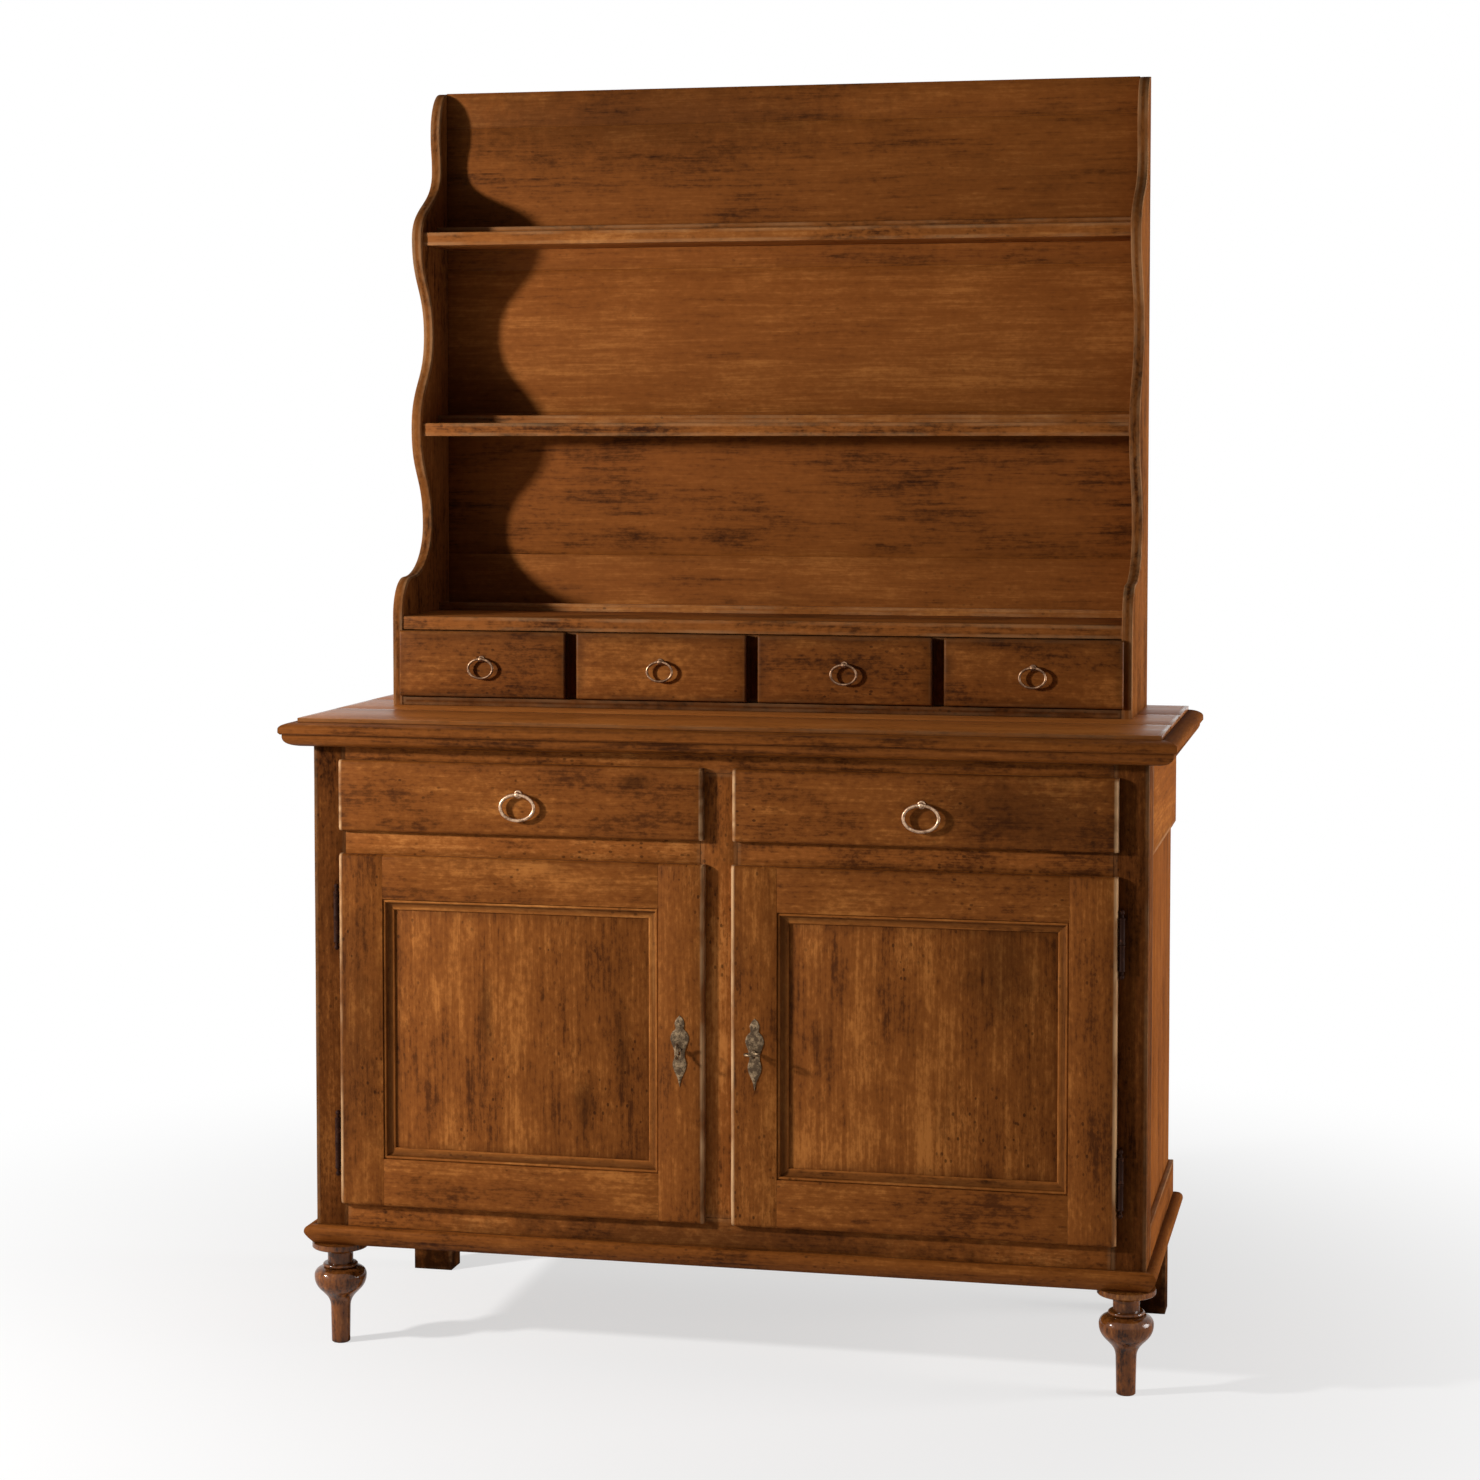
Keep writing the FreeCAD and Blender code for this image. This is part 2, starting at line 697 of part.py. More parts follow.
def make_door_moulding():
    x_low, x_high, z_low, z_high = door_sight
    front = lip_front_y + door_moulding_sink
    foot = door_panel_y - door_moulding_foot
    corners = [
        profile_point(0, door_panel_y),
        profile_point(0, front),
        profile_point(door_moulding_bead, front),
        profile_point(door_moulding_width, foot),
        profile_point(door_moulding_width, door_panel_y),
    ]
    hollow = profile_point(door_moulding_bead, foot)
    edges = [line(corners[0], corners[1]), line(corners[1], corners[2]), curve(corners[2], hollow, corners[3])]
    edges += [line(corners[3], corners[4]), line(corners[4], corners[0])]
    profile = Part.Wire(edges)
    maps = [sight_corner_map(x_low, z_low, 1, 1), sight_corner_map(x_high, z_low, -1, 1),
            sight_corner_map(x_high, z_high, -1, -1), sight_corner_map(x_low, z_high, 1, -1)]
    mitres = [profile.transformGeometry(corner) for corner in maps]
    return [solid_between(start, end) for start, end in zip(mitres, mitres[1:] + mitres[:1])]


# Ring pulls: a rose, a stem and a pierced ball, with an oval ring through it
def eye_radius(wire_radius):
    return wire_radius + ring_eye_clearance + ring_eye_wall


def ring_axis(face_y, x, middle_z):
    return Vector(x, face_y - ring_stand_off, middle_z + ring_eye_rise)


def eye_tail(wire_radius, axis):
    """The threaded tail of a pull, inside the drawer front."""
    start = axis + BACK * ring_stand_off
    return cylinder(eye_radius(wire_radius) * ring_stem_radius_share, ring_tail_length, start, BACK)


def make_eye(wire_radius, axis):
    radius = eye_radius(wire_radius)
    ball = Part.makeSphere(radius, axis, RIGHT)
    stem = cylinder(radius * ring_stem_radius_share, ring_stand_off, axis, BACK)
    rose_start = axis + BACK * (ring_stand_off - ring_rose_thickness)
    rose = cylinder(radius * ring_rose_radius_share, ring_rose_thickness, rose_start, BACK)
    bore_radius = wire_radius + ring_eye_clearance
    bore = cylinder(bore_radius, 2 * (radius + overrun), axis - RIGHT * (radius + overrun), RIGHT)
    return ball.fuse([stem, rose, eye_tail(wire_radius, axis)]).removeSplitter().cut(bore)


def make_ring(width, height, wire_radius, axis):
    half_long = width / 2 - wire_radius
    half_short = height / 2 - wire_radius
    return oval_ring(axis - UP * half_short, half_long, half_short, wire_radius, RIGHT, UP)


# Wide drawers, on the right; the left one is its twin
wide_x_low = stile_half + opening_clearance
wide_x_high = post_inner - opening_clearance
wide_middle_x = (stile_half + post_inner) / 2
wide_middle_z = drawer_opening_bottom + drawer_opening_height / 2
wide_axis = ring_axis(lip_front_y, wide_middle_x, wide_middle_z)


def make_wide_front():
    lip = rounded_front(stile_half - drawer_lip_overlap_at_centre, post_inner + lip_overlap, lip_front_y, lip_back_y,
                        drawer_opening_bottom - lip_overlap, top_rail_bottom + lip_overlap, lip_round)
    inner = box(wide_x_low, wide_x_high, lip_back_y, inner_back_y,
                drawer_opening_bottom + opening_clearance, top_rail_bottom - opening_clearance)
    return lip.fuse(inner).removeSplitter().cut(eye_tail(wide_ring_wire_radius, wide_axis))


def drawer_box(x_low, x_high, y_low, y_high, z_low, z_high, side, back, bottom, bottom_rise, groove):
    """Two sides, a back and a bottom that is let into grooves in them."""
    floor_low = z_low + bottom_rise
    floor = box(x_low + side - groove, x_high - side + groove, y_low, y_high - back + groove,
                floor_low, floor_low + bottom)
    left_side = box(x_low, x_low + side, y_low, y_high, z_low, z_high).cut(floor)
    right_side = box(x_high - side, x_high, y_low, y_high, z_low, z_high).cut(floor)
    back_piece = box(x_low + side, x_high - side, y_high - back, y_high, z_low, z_high).cut(floor)
    return [left_side, right_side, back_piece, floor]


def make_wide_box():
    return drawer_box(wide_x_low, wide_x_high, inner_back_y, inner_back_y + drawer_box_length,
                      drawer_opening_bottom + runner_gap, top_rail_bottom - drawer_top_clearance,
                      drawer_side_thickness, drawer_back_thickness, drawer_bottom_thickness,
                      drawer_bottom_rise, drawer_groove)


def make_runners():
    """Runners under the drawers' sides, with guides beside them, and the cleats of the inner shelf."""
    low = drawer_opening_bottom - runner_thickness
    high = drawer_opening_bottom
    inner_face = back_y - base_back_thickness
    guide_x = wide_x_high + guide_clearance
    outer = box(post_inner - runner_width, post_inner, rail_back_y, rear_post_front_y, low, high)
    outer_top = box(post_inner, guide_x + guide_width, front_post_back_y, rear_post_front_y, low, high + guide_height)
    middle = box(-runner_width, runner_width, rail_back_y, inner_face, low, high)
    middle_half = wide_x_low - guide_clearance
    middle_guide = box(-middle_half, middle_half, rail_back_y, inner_face, high, high + guide_height)
    shelf_low = base_floor_top + inner_shelf_rise
    cleat_x = half_width - front_post_width
    cleat = box(cleat_x, cleat_x + cleat_width, front_post_back_y, rear_post_front_y,
                shelf_low - cleat_height, shelf_low)
    return pair(outer) + pair(outer_top) + [middle, middle_guide] + pair(cleat)


# Cupboard floor and its loose shelf
base_floor_top = door_opening_bottom - base_floor_drop


def make_base_floor(posts):
    reach = half_width - side_rail_thickness
    board = box(-reach, reach, rail_back_y, back_y - base_back_thickness,
                base_floor_top - base_floor_thickness, base_floor_top)
    return board.cut(posts)


def make_inner_shelf(posts):
    reach = half_width - side_rail_thickness
    low = base_floor_top + inner_shelf_rise
    board = box(-reach, reach, front_y + inner_shelf_front_gap, back_y - base_back_thickness,
                low, low + inner_shelf_thickness)
    return board.cut(posts)


# Plate rack
rack_half = rack_width / 2
rack_inner = rack_half - rack_side_thickness
rack_front_y = back_y - rack_depth
rack_back_face = back_y - rack_back_thickness
rack_floor_top = worktop_height + rack_floor_thickness
drawer_shelf_low = worktop_height + drawer_shelf_rise - rack_shelf_thickness
shelf_rises = [drawer_shelf_rise, middle_shelf_rise, upper_shelf_rise]
shelf_depths = [rack_depth - drawer_shelf_setback, middle_shelf_depth, upper_shelf_depth]


def make_rack_shelf(rise, depth):
    reach = rack_inner + rack_shelf_housing
    high = worktop_height + rise
    return box(-reach, reach, back_y - depth, rack_back_face, high - rack_shelf_thickness, high)


def make_plate_strip(rise):
    front = back_y - plate_strip_from_back - plate_strip_thickness
    low = worktop_height + rise
    return box(-rack_inner, rack_inner, front, front + plate_strip_thickness, low, low + plate_strip_height)


def make_rack_side(shelves):
    """A board whose front edge waves in and out between the shelves."""

    def place(depth, rise):
        return Vector(rack_inner, back_y - depth, worktop_height + rise)

    def wave(start, end):
        handle = UP * ((end.z - start.z) * curve_handle_share)
        return curve(start, start + handle, end - handle, end)

    def rising_quarter(start, end):
        handle_up = UP * ((end.z - start.z) * quarter_handle_share)
        handle_back = BACK * ((end.y - start.y) * quarter_handle_share)
        return curve(start, start + handle_up, end - handle_back, end)

    def levelling_quarter(start, end):
        handle_back = BACK * ((end.y - start.y) * quarter_handle_share)
        handle_up = UP * ((end.z - start.z) * quarter_handle_share)
        return curve(start, start + handle_back, end - handle_up, end)

    half_shelf = rack_shelf_thickness / 2
    corner = place(rack_depth, drawer_shelf_rise)
    shoulder = place(shoulder_depth, shoulder_height)
    lower_waist = place(lower_waist_depth, (drawer_shelf_rise + middle_shelf_rise) / 2 - half_shelf)
    lower_belly = place(lower_belly_depth, middle_shelf_rise - half_shelf)
    upper_waist = place(upper_waist_depth, (middle_shelf_rise + upper_shelf_rise) / 2 - half_shelf)
    upper_belly = place(upper_belly_depth, upper_shelf_rise - half_shelf)
    neck = place(neck_depth, rack_height - neck_drop)
    crest = place(crest_depth, rack_height - crest_drop)
    crown = place(crest_flat, rack_height)
    edges = [line(place(0, 0), place(rack_depth, 0)), line(place(rack_depth, 0), corner)]
    edges += [rising_quarter(corner, shoulder), levelling_quarter(shoulder, lower_waist)]
    edges += [wave(lower_waist, lower_belly), wave(lower_belly, upper_waist), wave(upper_waist, upper_belly)]
    edges += [wave(upper_belly, neck), wave(neck, crest), rising_quarter(crest, crown)]
    edges += [line(crown, place(0, rack_height)), line(place(0, rack_height), place(0, 0))]
    board = Part.Face(Part.Wire(edges)).extrude(RIGHT * rack_side_thickness)
    return board.cut(shelves)


def make_rack_back():
    """Level boards between the sides, the narrow one at the top."""
    boards = []
    high = worktop_height + rack_height
    height = rack_crown_board_height
    while high - worktop_height > same_place:
        low = max(high - height, worktop_height)
        boards.append(box(-rack_inner, rack_inner, rack_back_face, back_y, low, high))
        high = low
        height = rack_back_board_height
    return boards


# Small drawers stand between dividers on the rack's floor
bay_pitch = (2 * rack_inner + rack_divider_thickness) / small_drawer_count
bay_width = bay_pitch - rack_divider_thickness


def make_rack_floor():
    floor = box(-rack_inner, rack_inner, rack_front_y, rack_back_face, worktop_height, rack_floor_top)
    pieces = [floor]
    for index in range(1, small_drawer_count):
        x = -rack_inner + index * bay_pitch - rack_divider_thickness
        pieces.append(box(x, x + rack_divider_thickness, rack_front_y + rack_divider_setback, rack_back_face,
                          rack_floor_top, drawer_shelf_low))
    return pieces


def bay_edges(index):
    low = -rack_inner + index * bay_pitch
    return low + small_front_gap, low + bay_width - small_front_gap


def small_axis(index):
    x_low, x_high = bay_edges(index)
    face_y = rack_front_y - small_lip_proud
    return ring_axis(face_y, (x_low + x_high) / 2, (rack_floor_top + drawer_shelf_low) / 2)


def make_small_front(index):
    """A front that laps over the edges of its bay at both ends."""
    x_low, x_high = bay_edges(index)
    z_low = rack_floor_top + small_front_gap
    z_high = drawer_shelf_low - small_front_gap
    reach = small_lip_overlap + small_front_gap
    lip_back = rack_front_y - lip_gap
    lip = rounded_front(x_low - reach, x_high + reach, rack_front_y - small_lip_proud, lip_back,
                        z_low, z_high, small_front_round)
    inner = box(x_low, x_high, lip_back, rack_front_y + small_inner_depth, z_low, z_high)
    return lip.fuse(inner).removeSplitter().cut(eye_tail(small_ring_wire_radius, small_axis(index)))


def make_small_box(index):
    x_low, x_high = bay_edges(index)
    start = rack_front_y + small_inner_depth
    return drawer_box(x_low, x_high, start, start + small_box_length, rack_floor_top + runner_gap,
                      drawer_shelf_low - small_box_drop, small_side_thickness, small_back_thickness,
                      small_bottom_thickness, small_bottom_rise, drawer_groove)


def main():
    os.makedirs("parts", exist_ok=True)

    # Base
    panel = make_side_panel()
    front_posts = pair(make_front_post(panel))
    rails = make_side_rails(panel)
    rear_posts = pair(make_rear_post(panel, rails))
    posts = front_posts + rear_posts
    plate, mortise = strike_places()
    write("worktop", [make_worktop()])
    write("under_moulding", make_under_moulding())
    write("front_posts", front_posts)
    write("rear_posts", rear_posts)
    write("front_frame", make_front_frame(pair(plate) + pair(mortise)))
    write("strike_plates", pair(plate.cut(mortise)))
    write("side_rails", rails + [mirrored(rail) for rail in rails])
    write("side_panels", pair(panel))
    write("base_floor", [make_base_floor(posts)])
    write("base_back", [make_base_back()])
    write("inner_shelf", [make_inner_shelf(posts)])
    write("drawer_runners", make_runners())
    write("plinth_moulding", make_plinth())
    write("front_feet", pair(make_foot()))
    post_halves = [post_hinge_half(height) for height in hinge_heights]
    write("post_hinge_halves", post_halves + [mirrored(half) for half in post_halves])

    # Rack
    shelves = [make_rack_shelf(rise, depth) for rise, depth in zip(shelf_rises, shelf_depths)]
    write("rack_sides", pair(make_rack_side(shelves)))
    write("rack_shelves", shelves)
    write("plate_strips", [make_plate_strip(rise) for rise in shelf_rises])
    write("rack_back_boards", make_rack_back())
    write("rack_floor", make_rack_floor())

    # Doors, locks and wide drawers
    door_pieces = {
        "door_frame": make_door_frame(),
        "door_panel": [make_door_panel()],
        "door_moulding": make_door_moulding(),
        "door_hinge_halves": [door_hinge_half(height) for height in hinge_heights],
        "door_lock": [make_lock_case()],
        "door_bolt": [make_bolt()],
        "door_escutcheon": [make_escutcheon()],
        "drawer_front": [make_wide_front()],
        "drawer_box": make_wide_box(),
    }
    for name, solids in door_pieces.items():
        write("right_" + name, solids)
        write("left_" + name, [mirrored(solid) for solid in solids])
    left_axis = Vector(-wide_axis.x, wide_axis.y, wide_axis.z)
    for side, axis in (("right", wide_axis), ("left", left_axis)):
        write(side + "_drawer_eye", [make_eye(wide_ring_wire_radius, axis)])
        ring = make_ring(wide_ring_width, wide_ring_height, wide_ring_wire_radius, axis)
        write(side + "_drawer_ring", [ring])
    right_key = make_key(0)
    right_key.translate(Vector(key_x, 0, lock_height))
    write("right_key", [right_key])
    left_key = make_key(1)
    left_key.translate(Vector(-key_x, 0, lock_height))
    write("left_key", [left_key])

    # Small drawers, counted from the left
    for index in range(small_drawer_count):
        name = "small_drawer_" + str(index + 1)
        axis = small_axis(index)
        write(name + "_front", [make_small_front(index)])
        write(name + "_box", make_small_box(index))
        write(name + "_eye", [make_eye(small_ring_wire_radius, axis)])
        write(name + "_ring", [make_ring(small_ring_width, small_ring_height, small_ring_wire_radius, axis)])


main()
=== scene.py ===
import math
import bpy
import numpy as np
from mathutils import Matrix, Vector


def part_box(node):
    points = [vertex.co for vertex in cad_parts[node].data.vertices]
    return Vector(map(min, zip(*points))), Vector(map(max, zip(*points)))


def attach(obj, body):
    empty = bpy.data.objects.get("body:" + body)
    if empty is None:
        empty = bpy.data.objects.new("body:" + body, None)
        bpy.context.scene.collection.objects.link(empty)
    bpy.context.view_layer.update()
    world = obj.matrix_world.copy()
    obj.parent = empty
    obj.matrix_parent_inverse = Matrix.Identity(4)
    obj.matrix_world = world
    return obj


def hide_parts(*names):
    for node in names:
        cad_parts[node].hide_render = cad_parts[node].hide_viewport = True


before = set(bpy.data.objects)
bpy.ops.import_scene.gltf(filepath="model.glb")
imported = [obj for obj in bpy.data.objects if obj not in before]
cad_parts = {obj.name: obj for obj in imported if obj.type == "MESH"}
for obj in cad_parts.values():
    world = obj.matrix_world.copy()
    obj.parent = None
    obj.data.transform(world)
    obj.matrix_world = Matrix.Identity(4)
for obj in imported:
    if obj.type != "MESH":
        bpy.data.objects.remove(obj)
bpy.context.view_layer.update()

mm = 0.001           # shapes below are worked out in millimetres
roundShare = 0.55    # handle length that brings a curve close to a quarter of an ellipse
sharpAngle = 34.0    # degrees between faces from which an edge is shaded sharp
seedStep = 31        # keeps the seeds of a left and a right board apart
sides = ((-1, "left"), (1, "right"))
print("frame loaded:", len(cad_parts), "nodes")


def cad(node):
    # corners of a node's box, in millimetres
    low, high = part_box(node)
    return np.array(low) / mm, np.array(high) / mm


# numpy shapes

def ripple(distance, seed):
    # four sine waves of seeded length and phase, added up and brought to 0..1
    draw = np.random.default_rng(seed)
    lengths, phases = draw.uniform(70, 420, 4), draw.uniform(0, 2 * np.pi, 4)
    return 0.5 + np.sin(2 * np.pi * np.asarray(distance)[..., None] / lengths + phases).sum(-1) / 8


def bezier(points, count):
    # a curve by repeated mixing of neighbouring control points
    t = np.linspace(0, 1, count)[:, None]
    layer = [np.asarray(p, float)[None, :] for p in points]
    while len(layer) > 1:
        layer = [(1 - t) * p + t * q for p, q in zip(layer, layer[1:])]
    return layer[0]


def quarter(start, end, leave, count):
    # about a quarter of an ellipse: a curve that leaves along one axis (0 or 1) and arrives along the other
    a, b = np.array(start, float), np.array(end, float)
    first, last, handle = a.copy(), b.copy(), (b - a) * roundShare
    first[leave] += handle[leave]
    last[1 - leave] -= handle[1 - leave]
    return bezier([a, first, last, b], count)


def wave(start, end, count):
    # an S-curve: its two handles both reach half the height between its ends
    half = (end[1] - start[1]) * 0.5
    return bezier([start, (start[0], start[1] + half), (end[0], end[1] - half), end], count)


def surface(points, along, seed, low=None, high=None, dirt_and_shade=0.0, wrapRows=False):
    # closed skin over a grid of points: quads between neighbours, columns joined round, end rows capped or
    # joined. It carries the grain's own coordinates (along, across, deep), distances to the low and high
    # faces of its board, a seeded tone and a value for dirt and painted shade.
    rows, columns = points.shape[:2]
    r, c = np.meshgrid(np.arange(rows if wrapRows else rows - 1), np.arange(columns), indexing="ij")
    nextR, nextC = (r + 1) % rows, (c + 1) % columns
    quads = np.stack((r * columns + c, r * columns + nextC, nextR * columns + nextC, nextR * columns + c), -1)
    quads = quads.reshape(-1, 4)
    flat = points.reshape(-1, 3)
    ends = [] if wrapRows else [np.arange(columns)[::-1], np.arange((rows - 1) * columns, rows * columns)]
    fans = [np.stack((np.full(len(e) - 2, e[0]), e[1:-1], e[2:]), 1) for e in ends]
    triangles = np.concatenate([quads[:, [0, 1, 2]], quads[:, [0, 2, 3]]] + fans)
    p, q, s = (flat[triangles[:, k]] for k in range(3))
    faces = quads.tolist() + [e.tolist() for e in ends]
    if (p * np.cross(q, s)).sum() < 0:          # a negative volume means that the faces point inwards
        faces = [face[::-1] for face in faces]
    draw = np.random.default_rng(seed + 500)
    grain = flat[:, [along, (along + 1) % 3, (along + 2) % 3]] * mm
    grain[:, 1] += draw.uniform(-0.02, 0.02) * grain[:, 0]
    grain += draw.uniform(0, 20, 3)
    far = np.ones((len(flat), 3))
    return {"points": flat, "faces": faces, "grain": grain,
            "low": far if low is None else low.reshape(-1, 3) * mm,
            "high": far if high is None else high.reshape(-1, 3) * mm,
            "tone": np.full(len(flat), draw.uniform(-1, 1)),
            "dirt_and_shade": np.broadcast_to(np.asarray(dirt_and_shade, float), points.shape[:2]).ravel()}


def board(low, high, along, seed, rounds=0.6, ends=0.5, wobble=0.25, step=70.0, dirt_and_shade=0.0):
    # A board: a rectangle with quarter-circle corners carried along the grain. Towards each end every side
    # draws in on a quarter circle of its own radius, and the corners wander inwards by a little seeded
    # ripple. Corners run (-,-) (+,-) (+,+) (-,+) over the two cross axes; ends are the sides a-, a+, b-, b+.
    low, high = np.array(low, float), np.array(high, float)
    a, b = (along + 1) % 3, (along + 2) % 3
    rounds = np.broadcast_to(np.asarray(rounds, float), 4)
    ends = np.broadcast_to(np.asarray(ends, float), 4)
    length = high[along] - low[along]
    near = np.unique(np.round(np.outer(ends, 1 - np.cos(np.linspace(0, np.pi / 2, 5))).ravel(), 3))
    middle = np.linspace(near[-1], length - near[-1], max(int(length / step), 1) + 1)
    s = np.concatenate((near[:-1], middle, length - near[:-1][::-1]))
    fromEnd = np.minimum(s, length - s)[:, None]
    inset = ends - np.sqrt(np.maximum(ends ** 2 - np.maximum(ends - fromEnd, 0) ** 2, 0))
    edge = np.array((low[a], high[a], low[b], high[b])) + inset * (1, -1, 1, -1)
    columns = []
    for corner, (sideA, sideB) in enumerate(((0, 2), (1, 2), (1, 3), (0, 3))):
        signA, signB = 1 - 2 * sideA, 5 - 2 * sideB
        worn = rounds[corner] * (0.85 + 0.3 * ripple(s, seed + corner))
        radius = np.maximum(worn - np.minimum(inset[:, sideA], inset[:, sideB]), 0.1)[:, None]
        push = (wobble * ripple(s, seed + 4 + corner))[:, None]
        angle = np.pi * (1 + corner / 2) + np.linspace(0, np.pi / 2, 6 if rounds[corner] > 1.5 else 3)
        across = edge[:, sideA, None] + signA * (radius + push) + radius * np.cos(angle)
        deep = edge[:, sideB, None] + signB * (radius + push) + radius * np.sin(angle)
        columns.append(np.stack((across, deep), -1))
    section = np.concatenate(columns, 1)
    points = np.empty(section.shape[:2] + (3,))
    points[..., along] = low[along] + s[:, None]
    points[..., a], points[..., b] = section[..., 0], section[..., 1]
    order = [along, a, b]
    return surface(points, along, seed, (points - low)[..., order], (high - points)[..., order], dirt_and_shade)


def lathe(origin, axis, profile, seed, count, dirt_and_shade=0.0, closed=False):
    # A turned piece: a profile of (radius, distance along the axis) carried round the axis on a full circle;
    # a closed profile comes back to its start.
    profile = np.asarray(profile, float)
    turn = np.linspace(0, 2 * np.pi, count, endpoint=False)
    a, b = (axis + 1) % 3, (axis + 2) % 3
    points = np.empty((len(profile), count, 3))
    points[..., axis] = origin[axis] + profile[:, 1, None]
    points[..., a] = origin[a] + profile[:, 0, None] * np.cos(turn)
    points[..., b] = origin[b] + profile[:, 0, None] * np.sin(turn)
    dirt_and_shade = np.broadcast_to(dirt_and_shade, len(profile))[:, None]
    return surface(points, axis, seed, dirt_and_shade=dirt_and_shade, wrapRows=closed)


def ovalRing(centre, longAxis, shortAxis, halfLong, halfShort, wire, seed, count=72):
    # Round wire on an ellipse: each point is the ellipse's place plus a small circle in the plane of its
    # normal and the ring's axis.
    t = np.linspace(0, 2 * np.pi, count, endpoint=False)[:, None, None]
    phi = np.linspace(0, 2 * np.pi, 16, endpoint=False)[None, :, None]
    u, v = np.array(longAxis, float), np.array(shortAxis, float)
    place = np.array(centre, float) + u * halfLong * np.cos(t) + v * halfShort * np.sin(t)
    normal = u * halfShort * np.cos(t) + v * halfLong * np.sin(t)
    normal = normal / np.linalg.norm(normal, axis=-1, keepdims=True)
    points = place + wire * (normal * np.cos(phi) + np.cross(u, v) * np.sin(phi))
    return surface(points, 0, seed, wrapRows=True)


def run(starts, ends, along, seed, dirt_and_shade, wobble, step=60.0):
    # A moulding: a closed profile carried straight from its first mitre to its last, with a slow ripple that
    # draws its points towards the profile's middle.
    length = np.abs(ends - starts).max()
    t = np.linspace(0, 1, max(int(length / step), 1) + 1)[:, None, None]
    points = starts + t * (ends - starts)
    middle = points.mean(1, keepdims=True)
    drift = wobble * ripple(t[:, 0, 0] * length, seed)[:, None, None]
    reach = np.linalg.norm(points - middle, axis=-1, keepdims=True)
    pulled = points - (points - middle) / np.maximum(reach, 0.001) * drift
    pulled[..., along] = points[..., along]
    return surface(pulled, along, seed, dirt_and_shade=np.broadcast_to(dirt_and_shade, starts.shape[0])[None, :])


def mirrored(patch, side):
    # the same skin on the other side of the dresser, turned right side out
    if side > 0:
        return patch
    points = patch["points"] * np.array((-1.0, 1.0, 1.0))
    return {**patch, "points": points, "faces": [face[::-1] for face in patch["faces"]]}


def bothSides(low, high, along, seed, *shape):
    # a board given for the right side, made on both sides with seeds of their own
    return [mirrored(board(low, high, along, seed + seedStep * side, *shape), side) for side, word in sides]


def makePiece(name, body, nodes, material, patches):
    # joins the skins into one mesh, carries their values as point attributes and puts the piece on its body
    starts = np.cumsum([0] + [len(p["points"]) for p in patches]).tolist()
    faces = [[v + start for v in face] for p, start in zip(patches, starts) for face in p["faces"]]
    mesh = bpy.data.meshes.new(name)
    mesh.from_pydata((np.concatenate([p["points"] for p in patches]) * mm).tolist(), [], faces)
    for key in ("grain", "low", "high", "tone", "dirt_and_shade"):
        values = np.concatenate([p[key] for p in patches]).astype(np.float32)
        kind, field = ("FLOAT_VECTOR", "vector") if values.ndim == 2 else ("FLOAT", "value")
        mesh.attributes.new(key, kind, "POINT").data.foreach_set(field, values.ravel())
    mesh.polygons.foreach_set("use_smooth", np.ones(len(mesh.polygons), bool))
    mesh.set_sharp_from_angle(angle=math.radians(sharpAngle))
    mesh.materials.append(material)
    mesh.update()
    piece = bpy.data.objects.new(name, mesh)
    bpy.context.collection.objects.link(piece)
    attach(piece, body)
    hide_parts(*nodes)


def carcassPiece(name, node, material, patches):
    makePiece(name, "carcass", [node], material, patches)


# node helpers

def put(tree, kind, feeds=None, **settings):
    # adds a node, sets its settings, and links or writes its inputs
    node = tree.nodes.new(kind)
    for key, value in settings.items():
        setattr(node, key, value)
    for key, source in (feeds or {}).items():
        if isinstance(source, bpy.types.NodeSocket):
            tree.links.new(source, node.inputs[key])
        else:
            node.inputs[key].default_value = source
    return node


def maths(tree, operation, *values, clamp=False):
    node = put(tree, "ShaderNodeMath", dict(enumerate(values)), operation=operation, use_clamp=clamp)
    return node.outputs[0]


def times(tree, first, second, clamp=False):
    return maths(tree, "MULTIPLY", first, second, clamp=clamp)


def plus(tree, first, second):
    return maths(tree, "ADD", first, second)


def vectors(tree, operation, *values):
    return put(tree, "ShaderNodeVectorMath", dict(enumerate(values)), operation=operation).outputs[0]


def lengthOf(tree, vector):
    return put(tree, "ShaderNodeVectorMath", {0: vector}, operation="LENGTH").outputs["Value"]


def objectPlace(tree):
    return put(tree, "ShaderNodeTexCoord").outputs["Object"]


def remap(tree, value, low, high, first=0.0, last=1.0):
    return put(tree, "ShaderNodeMapRange", {0: value, 1: low, 2: high, 3: first, 4: last},
               interpolation_type="SMOOTHSTEP").outputs[0]


def blend(tree, factor, first, second, mode="MIX"):
    return put(tree, "ShaderNodeMix", {0: factor, 6: first, 7: second}, data_type="RGBA", blend_type=mode,
               clamp_factor=True).outputs[2]


def noise(tree, vector, stretch, detail=2.0, rough=0.5):
    # noise over a stretched vector; its outputs are a value and a colour
    feeds = {"Vector": vectors(tree, "MULTIPLY", vector, stretch), "Scale": 1.0, "Detail": detail}
    return put(tree, "ShaderNodeTexNoise", {**feeds, "Roughness": rough})


surfaceOutputs = [("Color", "Color"), ("Roughness", "Float"), ("Height", "Float")]


def newGroup(name, inputs, outputs):
    # inputs are (name, kind, default) and outputs (name, kind)
    tree = bpy.data.node_groups.new(name, "ShaderNodeTree")
    for label, kind, value in inputs:
        socket = tree.interface.new_socket(label, in_out="INPUT", socket_type="NodeSocket" + kind)
        if value is not None:
            socket.default_value = value
    for label, kind in outputs:
        tree.interface.new_socket(label, in_out="OUTPUT", socket_type="NodeSocket" + kind)
    return tree, tree.nodes.new("NodeGroupInput").outputs, tree.nodes.new("NodeGroupOutput")


def deliver(tree, out, **values):
    for key, value in values.items():
        tree.links.new(value, out.inputs[key])


